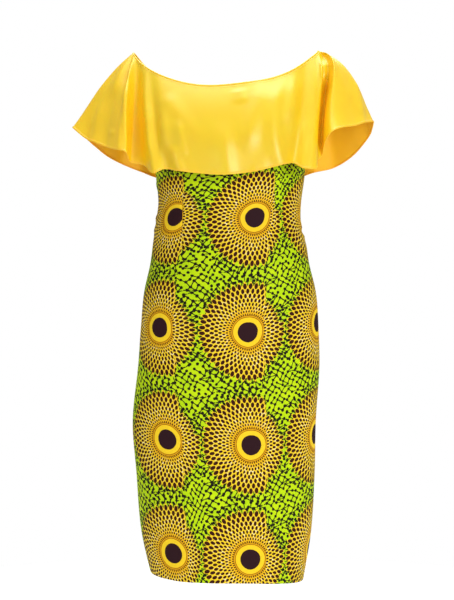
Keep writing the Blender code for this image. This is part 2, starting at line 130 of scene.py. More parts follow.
# The cape's folds, once round from the wearer's right shoulder by the front. neck is where the fold starts
# on the neckline (-1 right shoulder, 1 left shoulder, 3 right shoulder again), x y z is its end on the hem,
# out, up and lean (towards the back) are how far the cloth swells from the straight line between them,
# most at the share peak.
FoldRow = namedtuple("FoldRow", "name neck x y z out up lean peak")
FOLD_ROWS = [
    FoldRow("right seam", -1.000, -0.309, 0.000, -0.150, 0.006, 0.006, 0.000, 0.36),
    FoldRow("right sleeve", -0.985, -0.276, -0.035, -0.176, 0.009, 0.008, 0.000, 0.35),
    FoldRow("right sleeve front", -0.965, -0.243, -0.075, -0.189, 0.011, 0.008, 0.000, 0.38),
    FoldRow("right roll side", -0.945, -0.214, -0.105, -0.200, 0.002, 0.007, 0.000, 0.42),
    FoldRow("right roll crest", -0.915, -0.193, -0.123, -0.205, 0.010, 0.007, 0.000, 0.38),
    FoldRow("right trough", -0.870, -0.187, -0.090, -0.222, 0.000, 0.003, 0.000, 0.40),
    FoldRow("right trough side", -0.820, -0.161, -0.096, -0.229, 0.003, 0.003, 0.000, 0.45),
    FoldRow("right pleat crest", -0.740, -0.140, -0.140, -0.246, 0.010, 0.003, 0.000, 0.45),
    FoldRow("right pleat foot", -0.660, -0.117, -0.134, -0.238, 0.010, 0.000, 0.000, 0.50),
    FoldRow("right front", -0.560, -0.092, -0.152, -0.242, 0.014, 0.000, 0.000, 0.50),
    FoldRow("front right of centre", -0.340, -0.053, -0.157, -0.2465, 0.016, 0.000, 0.000, 0.50),
    FoldRow("front centre", -0.050, -0.006, -0.159, -0.249, 0.017, 0.000, 0.000, 0.50),
    FoldRow("front left of centre", 0.220, 0.042, -0.157, -0.2445, 0.016, 0.000, 0.000, 0.50),
    FoldRow("left front", 0.400, 0.074, -0.155, -0.238, 0.016, 0.000, 0.000, 0.50),
    FoldRow("left front dip", 0.570, 0.106, -0.142, -0.229, 0.014, 0.000, 0.000, 0.50),
    FoldRow("left front trough", 0.700, 0.127, -0.128, -0.2265, 0.010, 0.000, 0.000, 0.50),
    FoldRow("left pleat foot", 0.800, 0.144, -0.134, -0.237, 0.012, 0.002, 0.000, 0.45),
    FoldRow("left pleat crest", 0.880, 0.159, -0.140, -0.238, 0.008, 0.004, 0.000, 0.35),
    FoldRow("left pleat edge", 0.925, 0.171, -0.130, -0.2355, 0.009, 0.005, 0.000, 0.26),
    FoldRow("left trough wall", 0.945, 0.174, -0.100, -0.220, 0.010, 0.007, 0.010, 0.26),
    FoldRow("left trough", 0.958, 0.184, -0.084, -0.210, 0.016, 0.011, 0.014, 0.26),
    FoldRow("left roll wall", 0.975, 0.188, -0.104, -0.186, 0.024, 0.015, 0.000, 0.26),
    FoldRow("left roll crest", 0.985, 0.200, -0.120, -0.166, 0.024, 0.016, 0.000, 0.28),
    FoldRow("left roll side", 0.991, 0.221, -0.108, -0.157, 0.020, 0.016, 0.000, 0.31),
    FoldRow("left sleeve front", 0.996, 0.249, -0.075, -0.1515, 0.017, 0.017, 0.000, 0.36),
    FoldRow("left seam", 1.000, 0.291, 0.000, -0.139, 0.015, 0.018, 0.000, 0.41),
    FoldRow("left sleeve back", 1.015, 0.291, 0.036, -0.157, 0.014, 0.016, 0.000, 0.40),
    FoldRow("left sleeve heel", 1.075, 0.279, 0.068, -0.180, 0.012, 0.014, 0.000, 0.36),
    FoldRow("left back roll", 1.120, 0.256, 0.100, -0.206, 0.012, 0.012, 0.000, 0.36),
    FoldRow("left back crest", 1.200, 0.222, 0.130, -0.226, 0.012, 0.008, 0.000, 0.40),
    FoldRow("left back trough", 1.310, 0.181, 0.116, -0.236, 0.004, 0.003, 0.000, 0.45),
    FoldRow("left back flute", 1.440, 0.140, 0.150, -0.249, 0.010, 0.000, 0.000, 0.50),
    FoldRow("left back dip", 1.610, 0.098, 0.136, -0.250, 0.006, 0.000, 0.000, 0.50),
    FoldRow("back flute left", 1.780, 0.055, 0.158, -0.256, 0.009, 0.000, 0.000, 0.50),
    FoldRow("back centre", 2.000, 0.000, 0.144, -0.254, 0.007, 0.000, 0.000, 0.50),
    FoldRow("back flute right", 2.220, -0.057, 0.158, -0.256, 0.009, 0.000, 0.000, 0.50),
    FoldRow("right back dip", 2.400, -0.100, 0.135, -0.249, 0.006, 0.000, 0.000, 0.50),
    FoldRow("right back flute", 2.560, -0.142, 0.149, -0.247, 0.010, 0.000, 0.000, 0.50),
    FoldRow("right back trough", 2.690, -0.180, 0.116, -0.234, 0.004, 0.003, 0.000, 0.45),
    FoldRow("right back crest", 2.800, -0.219, 0.124, -0.218, 0.011, 0.006, 0.000, 0.40),
    FoldRow("right back roll", 2.880, -0.246, 0.092, -0.204, 0.010, 0.008, 0.000, 0.36),
    FoldRow("right sleeve heel", 2.930, -0.268, 0.062, -0.186, 0.008, 0.008, 0.000, 0.34),
    FoldRow("right sleeve back", 2.968, -0.291, 0.032, -0.165, 0.006, 0.007, 0.000, 0.35),
]
LEFT_SEAM_ROW = 25

# Soft creases, as seen straight from the front or the back: from (x1, z1) to (x2, z2), bowed sideways by
# bow at the middle. left and right are the half widths of its two sides, height is how far it stands out,
# or in if negative. fade is the share of the length over which each end dies away; 0 runs into the hem.
CreaseRow = namedtuple("CreaseRow", "x1 z1 x2 z2 bow left right height fade_start fade_end")
CAPE_FRONT_CREASES = [
    CreaseRow(-0.126, -0.090, -0.050, -0.200, 0.004, 0.018, 0.017, 0.0024, 0.2, 0.3),
    CreaseRow(-0.096, -0.140, -0.080, -0.222, 0.001, 0.012, 0.009, 0.0036, 0.3, 0.2),
    CreaseRow(-0.105, -0.190, -0.085, -0.244, 0.000, 0.010, 0.009, 0.0034, 0.3, 0.0),
    CreaseRow(-0.005, -0.140, 0.003, -0.249, -0.003, 0.024, 0.015, 0.0050, 0.5, 0.0),
    CreaseRow(-0.123, -0.112, -0.128, -0.240, 0.003, 0.010, 0.012, 0.0044, 0.4, 0.0),
    CreaseRow(-0.150, -0.100, -0.148, -0.215, 0.000, 0.007, 0.006, 0.0022, 0.4, 0.3),
    CreaseRow(0.022, -0.080, 0.029, -0.116, 0.000, 0.014, 0.013, 0.0022, 0.3, 0.4),
    CreaseRow(0.076, -0.060, 0.028, -0.215, 0.002, 0.020, 0.019, 0.0060, 0.3, 0.3),
    CreaseRow(0.116, -0.050, 0.104, -0.230, -0.022, 0.016, 0.017, 0.0070, 0.35, 0.0),
    CreaseRow(0.136, -0.046, 0.114, -0.166, -0.002, 0.012, 0.015, 0.0050, 0.4, 0.4),
    CreaseRow(0.145, -0.130, 0.146, -0.232, 0.000, 0.010, 0.013, 0.0040, 0.4, 0.0),
    CreaseRow(-0.220, -0.060, -0.238, -0.188, -0.002, 0.013, 0.010, -0.0034, 0.3, 0.0),
    CreaseRow(-0.192, -0.052, -0.206, -0.196, -0.004, 0.012, 0.007, 0.0046, 0.3, 0.0),
    CreaseRow(-0.240, -0.100, -0.274, -0.158, 0.003, 0.010, 0.012, 0.0016, 0.4, 0.4),
    CreaseRow(-0.208, -0.165, -0.236, -0.160, 0.003, 0.006, 0.006, 0.0012, 0.5, 0.5),
    CreaseRow(0.236, -0.060, 0.262, -0.135, 0.004, 0.014, 0.014, 0.0026, 0.4, 0.3),
    CreaseRow(-0.062, -0.228, -0.060, -0.250, 0.000, 0.007, 0.006, 0.0012, 0.8, 0.0),
    CreaseRow(-0.028, -0.232, -0.026, -0.252, 0.000, 0.006, 0.005, 0.0013, 0.8, 0.0),
    CreaseRow(0.052, -0.226, 0.053, -0.248, 0.000, 0.007, 0.006, 0.0012, 0.8, 0.0),
]
# Where the cloth bridges the top of its deepest fold: height here is how far it stands straight forward
CAPE_BRIDGES = [
    CreaseRow(0.194, -0.006, 0.192, -0.090, 0.000, 0.009, 0.011, 0.0200, 0.30, 0.6),
]
CAPE_BACK_CREASES = [
    CreaseRow(-0.140, -0.052, -0.160, -0.235, 0.004, 0.014, 0.011, 0.0034, 0.3, 0.0),
    CreaseRow(-0.092, -0.070, -0.068, -0.180, -0.006, 0.018, 0.014, 0.0026, 0.3, 0.6),
    CreaseRow(-0.028, -0.120, -0.036, -0.252, 0.002, 0.013, 0.016, 0.0032, 0.6, 0.0),
    CreaseRow(0.024, -0.075, 0.006, -0.165, 0.003, 0.016, 0.014, 0.0022, 0.4, 0.6),
    CreaseRow(0.070, -0.085, 0.084, -0.250, 0.005, 0.013, 0.015, 0.0036, 0.4, 0.0),
    CreaseRow(0.130, -0.050, 0.118, -0.225, -0.008, 0.012, 0.014, 0.0034, 0.3, 0.0),
    CreaseRow(0.235, -0.075, 0.262, -0.150, 0.003, 0.012, 0.014, 0.0024, 0.4, 0.4),
    CreaseRow(-0.228, -0.090, -0.258, -0.155, 0.003, 0.012, 0.010, 0.0022, 0.5, 0.4),
    CreaseRow(0.004, -0.228, 0.005, -0.256, 0.000, 0.008, 0.007, 0.0014, 0.8, 0.0),
]
# The same on the sleeves, as seen from the side, with y in place of x
CAPE_LEFT_CREASES = [
    CreaseRow(-0.006, -0.040, -0.048, -0.150, 0.004, 0.013, 0.011, 0.0034, 0.3, 0.0),
    CreaseRow(0.018, -0.046, 0.052, -0.178, -0.004, 0.012, 0.014, 0.0038, 0.3, 0.0),
    CreaseRow(0.004, -0.100, 0.002, -0.150, 0.000, 0.009, 0.008, 0.0016, 0.6, 0.0),
    CreaseRow(0.070, -0.090, 0.096, -0.210, 0.003, 0.012, 0.012, 0.0026, 0.4, 0.0),
]
CAPE_RIGHT_CREASES = [
    CreaseRow(-0.012, -0.044, -0.050, -0.180, 0.004, 0.012, 0.012, 0.0030, 0.3, 0.0),
    CreaseRow(0.016, -0.040, 0.034, -0.168, -0.003, 0.013, 0.012, 0.0036, 0.3, 0.0),
    CreaseRow(0.060, -0.080, 0.078, -0.205, 0.003, 0.011, 0.012, 0.0026, 0.4, 0.0),
]
SHEATH_FRONT_CREASES = [
    CreaseRow(0.156, -0.366, 0.095, -0.374, 0.003, 0.007, 0.006, 0.0026, 0.0, 0.7),
    CreaseRow(0.154, -0.344, 0.112, -0.348, -0.002, 0.006, 0.006, 0.0014, 0.0, 0.7),
    CreaseRow(-0.148, -0.352, -0.092, -0.362, -0.003, 0.007, 0.006, 0.0016, 0.0, 0.7),
    CreaseRow(-0.150, -0.268, -0.098, -0.262, 0.003, 0.008, 0.007, 0.0014, 0.0, 0.7),
    CreaseRow(-0.174, -0.560, -0.080, -0.600, 0.006, 0.014, 0.012, 0.0018, 0.2, 0.6),
    CreaseRow(0.178, -0.600, 0.090, -0.640, -0.006, 0.014, 0.012, 0.0018, 0.2, 0.6),
    CreaseRow(-0.060, -0.800, -0.085, -1.030, 0.004, 0.020, 0.024, 0.0022, 0.5, 0.0),
    CreaseRow(0.070, -0.840, 0.084, -1.030, -0.004, 0.024, 0.020, 0.0022, 0.5, 0.0),
    CreaseRow(0.002, -0.700, 0.004, -0.980, 0.003, 0.030, 0.030, -0.0020, 0.4, 0.4),
]
SHEATH_BACK_CREASES = [
    CreaseRow(-0.148, -0.330, -0.060, -0.350, 0.004, 0.008, 0.007, 0.0022, 0.0, 0.6),
    CreaseRow(0.152, -0.348, 0.070, -0.362, -0.004, 0.008, 0.007, 0.0024, 0.0, 0.6),
    CreaseRow(-0.040, -0.300, -0.100, -0.312, 0.003, 0.009, 0.008, 0.0018, 0.3, 0.5),
    CreaseRow(0.036, -0.316, 0.096, -0.330, 0.003, 0.009, 0.008, 0.0020, 0.3, 0.5),
    CreaseRow(-0.150, -0.620, -0.060, -0.660, 0.008, 0.016, 0.014, 0.0020, 0.2, 0.6),
    CreaseRow(0.150, -0.640, 0.070, -0.672, -0.006, 0.016, 0.014, 0.0020, 0.2, 0.6),
    CreaseRow(-0.070, -0.820, -0.082, -1.040, 0.004, 0.020, 0.022, 0.0020, 0.5, 0.0),
    CreaseRow(0.078, -0.830, 0.074, -1.040, -0.004, 0.020, 0.020, 0.0020, 0.5, 0.0),
]

# Where the roundels of the print lie on the front: how far round the cloth from the centre front, and how
# high, for three columns of them, one row after another down the dress
RoundelRow = namedtuple("RoundelRow", "right_place right_z middle_place middle_z left_place left_z")
ROUNDEL_ROWS = [
    RoundelRow(-0.1060, -0.327, 0.0540, -0.329, 0.2050, -0.326),
    RoundelRow(-0.1395, -0.543, 0.0397, -0.550, 0.2130, -0.536),
    RoundelRow(-0.1185, -0.759, 0.0471, -0.768, 0.2110, -0.759),
    RoundelRow(-0.1070, -0.982, 0.0451, -0.990, 0.2130, -0.986),
]

# Waist darts: where they end and are deepest, how far from the centre they lie, and the cloth that each of
# the front takes in at the waist
Dart = namedtuple("Dart", "top_z waist_z foot_z")
FRONT_DART = Dart(-0.170, -0.300, -0.400)
BACK_DART = Dart(-0.205, -0.310, -0.430)
DART_RIGHT_X = 0.087
DART_LEFT_X = 0.093
BACK_DART_X = 0.080
DART_INTAKE = 0.018

# Above the top row of roundels the cloth is pulled askew by the darts. For each column: how many times
# closer the print lies in height, and how far it leans to the wearer's left for each metre of height.
PRINT_RISES = {"right": 1.20, "middle": 1.06, "left": 1.12}
PRINT_LEANS = {"right": 0.04, "middle": 0.17, "left": 0.06}

# Where the print starts at the centre seam of each back
BACK_PRINT_PLACES = {"sheath_back_left": 0.118, "sheath_back_right": 0.118}

# The print's roundel: radii of its eye and rings, and the rings of seeds, which widen outwards. In all the
# materials, a pair named EDGES or SHARES says between which values one colour turns to another.
EYE_RADIUS = 0.0195
GOLD_RADIUS = 0.0278
THIN_RING_RADII = (0.0292, 0.0320)
THIN_RING_HALF = 0.0006
THIN_RING_EDGES = (1.3, 0.7)
FIRST_SEED_RADIUS = 0.0340
LAST_SEED_RADIUS = 0.0875
BARE_SHARES = (0.90, 0.91)
RING_DENSITY = 58.3
RING_POWER = 0.37
SEED_HALF_WIDTH = (0.275, 0.335)
SEED_HALF_LENGTH = (0.175, 0.290)
SEED_GROWTH_POWER = 0.6
SEED_EDGES = (1.12, 0.88)
SEED_NET_EDGES = (2.3, 2.1)
STEM_HALF = 0.0009
STEM_CHANCE = 0.8
LEAST_RADIUS = 0.001

# How far the roundel reaches: the left and both ends, then right of the join, below and above
LEFT_REACH = 0.0950
SEED_REACH = 0.0890
JOIN_X = 0.031
JOIN_SHIFT = 0.013
JOIN_ABOVE_SINE = 0.17
REACH_BELOW_JOIN = 0.0065
REACH_ABOVE_JOIN = 0.0070

# Radii between which the net turns from gold to yellow, and its pale flecks come and go
GOLD_FADE = (0.052, 0.032)
FLECKS_COME = (0.036, 0.048)
FLECKS_GO = (0.085, 0.060)

# The print's ground: spacing of its dots, their radius and scatter, the half width of the veins and how
# often one joins two dots, how soft an inked edge is, and the turn of the ground in radians
DOT_SPACING = 0.0100
DOT_RADIUS = 0.0029
DOT_SCATTER = 0.40
VEIN_HALF = 0.0010
SIDE_VEIN_CHANCE = 0.52
CROSS_VEIN_CHANCE = 0.14
NEIGHBOURS = ((1, 0), (-1, 0), (0, 1), (0, -1), (1, 1), (-1, -1))
INK_EDGE = 0.0003
GROUND_TURN = 0.55

# How unevenly the print is drawn: scale, detail and reach in metres of each wander
Wander = namedtuple("Wander", "scale detail reach")
HAND_WANDER = Wander(90.0, 2.0, 0.0011)
GROUND_DRIFT = Wander(20.0, 0.0, 0.0060)
GROUND_WIGGLE = Wander(120.0, 1.0, 0.0020)

# Cotton: its uneven dye, pale flecks, plain weave and gloss
DYE_SCALE = 45.0
DYE_EDGES = (0.35, 0.65)
DARK_LIME_SHARES = (0.80, 0.92, 0.90)
FLECK_SCALE = 210.0
FLECK_EDGES = (0.55, 0.62)
FLECK_SHARE = 0.65
FLECK_COLOUR = (0.98, 0.90, 0.58)
WEAVE_PITCH = 0.0005
WEAVE_DEPTH = 0.00006
WEAVE_STRENGTH = 0.5
COTTON_ROUGHNESS = 0.65
COTTON_SPECULAR = 0.10

# Satin: its cloudy dye, the lustre of its long floating threads, its gloss and the light that it lets through
CLOUD_SCALE = 14.0
CLOUD_EDGES = (0.3, 0.7)
FLOAT_SCALES = (3200.0, 260.0, 1.0)
LUSTRE_RANGE = (-1.2, 2.8)
FLOAT_DEPTH = 0.00004
FLOAT_STRENGTH = 0.25
REVERSE_ROUGHNESS = 0.25
SATIN_SPECULAR = 0.85
SATIN_TINT = (1.0, 0.96, 0.76, 1.0)
GLOW_SHARE = 0.5
GLOW_COLOUR = (1.0, 0.6, 0.1)
GLOW_DEPTH = 0.004

# How much greater the satin's v coordinate is on its reverse side, in metres, and the shares of it between
# which the material turns to the reverse, which is rougher and painted a deeper orange yellow as shade
REVERSE_SHIFT = 1.0
REVERSE_EDGES = (0.4, 0.6)

# Thread: scale of its plies, their darker colour and its gloss
PLY_SCALE = 2500.0
PLY_EDGES = (0.4, 0.6)
PLY_DARKER = 0.7
THREAD_ROUGHNESS = 0.45

# Seams, darts, hems and the slit: half widths, depths and heights of their relief, and where they are sewn
SEAM_HALF = 0.0021
SEAM_DEPTH = 0.0009
DART_DEPTH = 0.0011
DART_GROOVE_SLOPE = 2
HEM_TURN_UP = 0.028
TURN_UP_LIFT = 0.0004
TURN_UP_SLOPE = 0.0016
SLIT_PULL = 0.04
SLIT_STITCH = 0.009
TACK_LINES = 4
TACK_HALF = 0.005
HEM_BEAD = 0.0008
CAPE_HEM_STITCH = 0.0030
NECK_STITCH = 0.0052
STITCH_PROUD = 0.3

# Rows of faces above the chest and in the cape's lowest band, the share of its fall that the band takes, and
# how much the neckline's length counts beside the hem's where the cape's columns are spaced
YOKE_ROWS = 30
HEM_ROWS = 8
HEM_BAND = 0.03
NECK_WEIGHT = 0.35

# How far out on the sleeves their own creases set in, and over what width
SLEEVE_X = 0.200
SLEEVE_BLEND = 0.040

# How fine the tables are that lengths are measured from
QUARTER_STEPS = 240
PLACE_STEPS = 6000
HEM_STEPS = 4000

# Neck binding: rings round the neckline, sides of each ring, how far it lies inside the cape's edge and above
# it, its half width and half height, how square it is, and the strip that it is folded from
BINDING_RINGS = 900
BINDING_SIDES = 14
BINDING_INSET = 0.0013
BINDING_RISE = 0.0020
BINDING_HALF_WIDTH = 0.0023
BINDING_HALF_HEIGHT = 0.0021
BINDING_POWER = 0.8
BINDING_SIDE_SPACING = 0.001

# Flat cloth: the cape's depth
CAPE_DEPTH = 0.30

# Stitches: faces of each, how much their sizes vary, and the longer and shorter steps of some lines
STITCH_SEGMENTS = 7
STITCH_RINGS = 6
STITCH_VARIES = (0.88, 1.06)
STITCH_SEED = 11
BLIND_PITCH = 3.0
BLIND_LENGTH = 0.5
TACK_PITCH = 0.8

# Studio: the paper floor, the air's brightness and the soft lights, each aimed at a point
FLOOR_RADIUS = 1.7
FLOOR_SEGMENTS = 96
PAPER_SCALE = 3.0
PAPER_EDGES = (0.3, 0.7)
PAPER_LIGHT = (0.93, 0.93, 0.93)
PAPER_DARK = (0.90, 0.90, 0.90)
PAPER_ROUGHNESS = 0.9
AIR_STRENGTH = 0.40
DRESS_MIDDLE = (0, 0, -0.45)
LightRow = namedtuple("LightRow", "name place size power target")
LIGHT_ROWS = [
    LightRow("key light", (1.7, -2.6, 0.2), 1.3, 56, DRESS_MIDDLE),
    LightRow("fill light", (-2.2, -2.8, -0.3), 2.2, 28, DRESS_MIDDLE),
    LightRow("top light", (0.0, 0.6, 2.4), 2.6, 105, (0, 0.9, -1.42)),
    LightRow("back light", (0.4, 2.2, 1.5), 1.6, 26, DRESS_MIDDLE),
]


class ClothSizes(bpy.types.PropertyGroup):
    cotton: FloatProperty(
        name="Cotton", description="Thickness of the printed cotton", default=0.0007, unit="LENGTH"
    )
    satin: FloatProperty(
        name="Satin", description="Thickness of the satin of the cape", default=0.0006, unit="LENGTH"
    )
    cape_hem: FloatProperty(
        name="Cape hem", description="Width of the rolled hem of the cape", default=0.004, unit="LENGTH"
    )
    sheath_columns: IntProperty(
        name="Sheath columns", description="Faces across the front of the sheath", default=176
    )
    sheath_rows: IntProperty(
        name="Sheath rows", description="Faces down the sheath below the chest", default=230
    )
    cape_columns: IntProperty(
        name="Cape columns", description="Faces along the hem of half of the cape", default=420
    )
    cape_rows: IntProperty(
        name="Cape rows", description="Faces down the fall of the cape", default=96
    )


class PrintColours(bpy.types.PropertyGroup):
    repeat_width: FloatProperty(
        name="Repeat width", description="Distance between roundels across the cloth", default=0.170,
        unit="LENGTH",
    )
    repeat_height: FloatProperty(
        name="Repeat height", description="Distance between roundels along the cloth", default=0.219,
        unit="LENGTH",
    )
    seeds: IntProperty(
        name="Seeds", description="Seeds in each ring of a roundel", default=50
    )
    ground: FloatVectorProperty(
        name="Ground", description="Lime green between the roundels", default=(0.54, 0.73, 0.003),
        subtype="COLOR",
    )
    net: FloatVectorProperty(
        name="Net", description="Yellow between the seeds", default=(0.88, 0.60, 0.018), subtype="COLOR"
    )
    gold: FloatVectorProperty(
        name="Gold", description="Deeper yellow near the eye of a roundel", default=(0.80, 0.42, 0.004),
        subtype="COLOR",
    )
    seed: FloatVectorProperty(
        name="Seed", description="Red-brown of the seeds", default=(0.040, 0.006, 0.002), subtype="COLOR"
    )
    rust: FloatVectorProperty(
        name="Rust", description="Brown of the thin rings round the eye", default=(0.22, 0.07, 0.004),
        subtype="COLOR",
    )
    eye: FloatVectorProperty(
        name="Eye", description="Aubergine of the eye of a roundel", default=(0.024, 0.006, 0.009),
        subtype="COLOR",
    )
    vein: FloatVectorProperty(
        name="Vein", description="Near black of the dots and veins on the ground",
        default=(0.010, 0.008, 0.003), subtype="COLOR",
    )


class SatinFinish(bpy.types.PropertyGroup):
    colour: FloatVectorProperty(
        name="Colour", description="Yellow of the satin", default=(0.96, 0.56, 0.004), subtype="COLOR"
    )
    shade: FloatVectorProperty(
        name="Shade", description="Slightly deeper yellow in its uneven dye", default=(0.96, 0.53, 0.002),
        subtype="COLOR",
    )
    # Painted shade: the reverse side, which lines the shaded inside of the cape, is painted a deeper orange
    # yellow
    reverse: FloatVectorProperty(
        name="Reverse", description="Deeper yellow of its matt reverse side", default=(0.97, 0.45, 0.001),
        subtype="COLOR",
    )
    thread: FloatVectorProperty(
        name="Thread", description="Sewing thread on the satin", default=(0.93, 0.60, 0.05),
        subtype="COLOR",
    )


class StitchSizes(bpy.types.PropertyGroup):
    length: FloatProperty(
        name="Length", description="Length of a stitch", default=0.0021, unit="LENGTH"
    )
    pitch: FloatProperty(
        name="Pitch", description="Distance from stitch to stitch", default=0.0026, unit="LENGTH"
    )
    thickness: FloatProperty(
        name="Thread", description="Thickness of the thread", default=0.00035, unit="LENGTH"
    )


class StudioSizes(bpy.types.PropertyGroup):
    floor_z: FloatProperty(
        name="Floor", description="Height of the floor below the wearer's shoulders", default=-1.42,
        unit="LENGTH",
    )
    distance: FloatProperty(
        name="Distance", description="Camera to the middle of the dress", default=2.8, unit="LENGTH"
    )
    eye_z: FloatProperty(
        name="Camera height", description="Height of the camera", default=-0.336, unit="LENGTH"
    )
    lens: FloatProperty(
        name="Lens", description="Focal length in millimetres", default=84.0
    )
    tilt: FloatProperty(
        name="Tilt", description="How far the camera looks down, in degrees", default=1.60
    )
    shift: FloatProperty(
        name="Shift", description="Rise of the lens, as a share of the picture's height", default=-0.0667
    )


def smooth_curve(knots, rows, period=None):
    """A function of knot values that passes smoothly through the rows, round and round if it has a period."""
    knots = np.asarray(knots, float)
    rows = np.asarray(rows, float).reshape(len(knots), -1)
    if period:
        count = len(knots)
        wound = np.arange(-2, count + 3)
        knots = knots[wound % count] + period * (wound // count)
        rows = rows[wound % count]
    final = len(knots) - 1
    index = np.arange(final + 1)
    before = np.maximum(index - 1, 0)
    after = np.minimum(index + 1, final)
    slopes = (rows[after] - rows[before]) / (knots[after] - knots[before])[:, None]
    first, last = (2, final - 2) if period else (0, final)

    def at(places):
        places = np.asarray(places, float)
        if period:
            places = knots[first] + (places - knots[first]) % period
        i = np.clip(np.searchsorted(knots, places) - 1, first, last - 1)
        span = knots[i + 1] - knots[i]
        t = ((places - knots[i]) / span)[..., None]
        span = span[..., None]
        t2, t3 = t * t, t * t * t
        return (
            rows[i] * (2 * t3 - 3 * t2 + 1)
            + slopes[i] * span * (t3 - 2 * t2 + t)
            + rows[i + 1] * (3 * t2 - 2 * t3)
            + slopes[i + 1] * span * (t3 - t2)
        )

    return at


def chord_knots(points, power=1.0):
    """Knot values that grow with the distance between points, and the whole way round."""
    points = np.asarray(points, float)
    steps = np.linalg.norm(np.roll(points, -1, axis=0) - points, axis=1) ** power
    knots = np.concatenate([[0.0], np.cumsum(steps)])
    return knots[:-1], knots[-1]


def signed_power(value, power):
    return np.copysign(np.abs(value) ** power, value)


def unit(vectors):
    return vectors / np.maximum(np.linalg.norm(vectors, axis=-1, keepdims=True), 1e-12)


def smooth_step(value):
    value = np.clip(value, 0, 1)
    return value * value * (3 - 2 * value)


BODY_WIDTHS = smooth_curve([-row.z for row in BODY_ROWS], [(row.right, row.left) for row in BODY_ROWS])
BODY_DEPTHS = smooth_curve([-row.z for row in BODY_ROWS], [(row.front, row.back) for row in BODY_ROWS])


def body_point(angle, z):
    """The sheath's outside at a height. Angle 0 is the centre front, a right angle the wearer's left side."""
    angle, z = np.broadcast_arrays(np.asarray(angle, float), np.asarray(z, float))
    widths, depths = BODY_WIDTHS(-z), BODY_DEPTHS(-z)
    across, ahead = np.sin(angle), np.cos(angle)
    x = np.where(across > 0, widths[..., 1], widths[..., 0]) * signed_power(across, 2 / SECTION_POWER)
    y = -np.where(ahead > 0, depths[..., 0], depths[..., 1]) * signed_power(ahead, 2 / SECTION_POWER)
    return np.stack([x, y, z], axis=-1)


def quarter_table(z, quarter):
    """Angles in a quarter of the section and the lengths along it from the quarter's start."""
    angles = np.linspace(quarter, quarter + 1, QUARTER_STEPS + 1) * math.pi / 2
    points = body_point(angles, z)
    lengths = np.concatenate([[0.0], np.cumsum(np.linalg.norm(np.diff(points, axis=0), axis=1))])
    return angles, lengths


def even_angles(z, turns):
    """The angles at shares of the way round, where each quarter of the section counts 1."""
    turns = np.asarray(turns, float)
    quarters = np.floor(turns)
    angles = np.empty_like(turns)
    for quarter in np.unique(quarters):
        here = quarters == quarter
        table, lengths = quarter_table(z, quarter)
        angles[here] = np.interp((turns[here] - quarter) * lengths[-1], lengths, table)
    return angles


def hem_height(angle):
    middle_share = np.cos(angle) ** 2
    middle = np.where(np.cos(angle) > 0, HEM_FRONT_Z, HEM_BACK_Z)
    side = np.where(np.sin(angle) > 0, HEM_LEFT_SIDE_Z, HEM_RIGHT_SIDE_Z)
    return middle * middle_share + side * (1 - middle_share)


NECK_KNOTS, NECK_LENGTH = chord_knots(NECK_ROWS)
NECK_CURVE = smooth_curve(NECK_KNOTS, NECK_ROWS, NECK_LENGTH)
FOLD_HEMS = [(row.x, row.y, row.z) for row in FOLD_ROWS]
FOLD_KNOTS, FOLD_LENGTH = chord_knots(FOLD_HEMS, FOLD_SPACING_POWER)
FOLD_CURVE = smooth_curve(FOLD_KNOTS, FOLD_HEMS, FOLD_LENGTH)
FOLD_SWELLS = [(row.out, row.up, row.lean, row.peak) for row in FOLD_ROWS]
SWELL_CURVE = smooth_curve(FOLD_KNOTS, FOLD_SWELLS, FOLD_LENGTH)
NECK_STARTS = smooth_curve([*FOLD_KNOTS, FOLD_LENGTH], [*(row.neck for row in FOLD_ROWS), 3.0])


def neck_point(share):
    """The neckline at a share: -1 to 1 runs by the front from right to left, and 1 to 3 back round behind."""
    front_length = NECK_KNOTS[LEFT_SHOULDER_ROW]
    front = (share + 1) / 2 * front_length
    back = front_length + (share - 1) / 2 * (NECK_LENGTH - front_length)
    return NECK_CURVE(np.where(share <= 1, front, back))


def cape_point(place, drop):
    """The cape's outside: place runs round the hem in the folds' own knots, drop from 0 at the neck to 1."""
    place, drop = np.broadcast_arrays(np.asarray(place, float) % FOLD_LENGTH, np.asarray(drop, float))
    start = neck_point(NECK_STARTS(place)[..., 0])
    end = FOLD_CURVE(place)
    out, up, lean, peak = np.moveaxis(SWELL_CURVE(place), -1, 0)
    fall = (1 - peak) / peak
    swell = drop * signed_power(1 - drop, fall) / (peak * (1 - peak) ** fall)
    level = end * np.array([1, 1, 0])
    away = unit(level) * out[..., None]
    away[..., 1] += lean
    away[..., 2] += up
    return start + (end - start) * drop[..., None] + away * swell[..., None]


def surface_frame(surface, across, along):
    """A surface's points, outward normals and directions across and along it, from small steps either way."""
    step_across = surface(across + NUDGE, along) - surface(across - NUDGE, along)
    step_along = surface(across, along + NUDGE) - surface(across, along - NUDGE)
    normal = np.cross(step_along, step_across)
    return surface(across, along), unit(normal), unit(step_across), unit(step_along)


PLACE_TABLE = np.linspace(0, FOLD_LENGTH, PLACE_STEPS + 1)
START_TABLE = NECK_STARTS(PLACE_TABLE)[:, 0]


def place_of_neck(share):
    """The place round the cape whose fold starts at a share of the neckline."""
    return np.interp(share, START_TABLE, PLACE_TABLE)


def neck_seam(share):
    """Where the sheath's top edge lies at the neckline: just inside the cape's wall."""
    point, normal, _, _ = surface_frame(cape_point, place_of_neck(share), NUDGE)
    return point - normal * SATIN_WALL


def strap_tip(side):
    """The shoulder seam's outer end, under the cape. side is -1 on the wearer's right and 1 on the left."""
    point, normal, _, _ = surface_frame(cape_point, place_of_neck(side), STRAP_DROP)
    return point - normal * STRAP_CLEARANCE


STRAP_TIPS = {side: strap_tip(float(side)) for side in (-1, 1)}


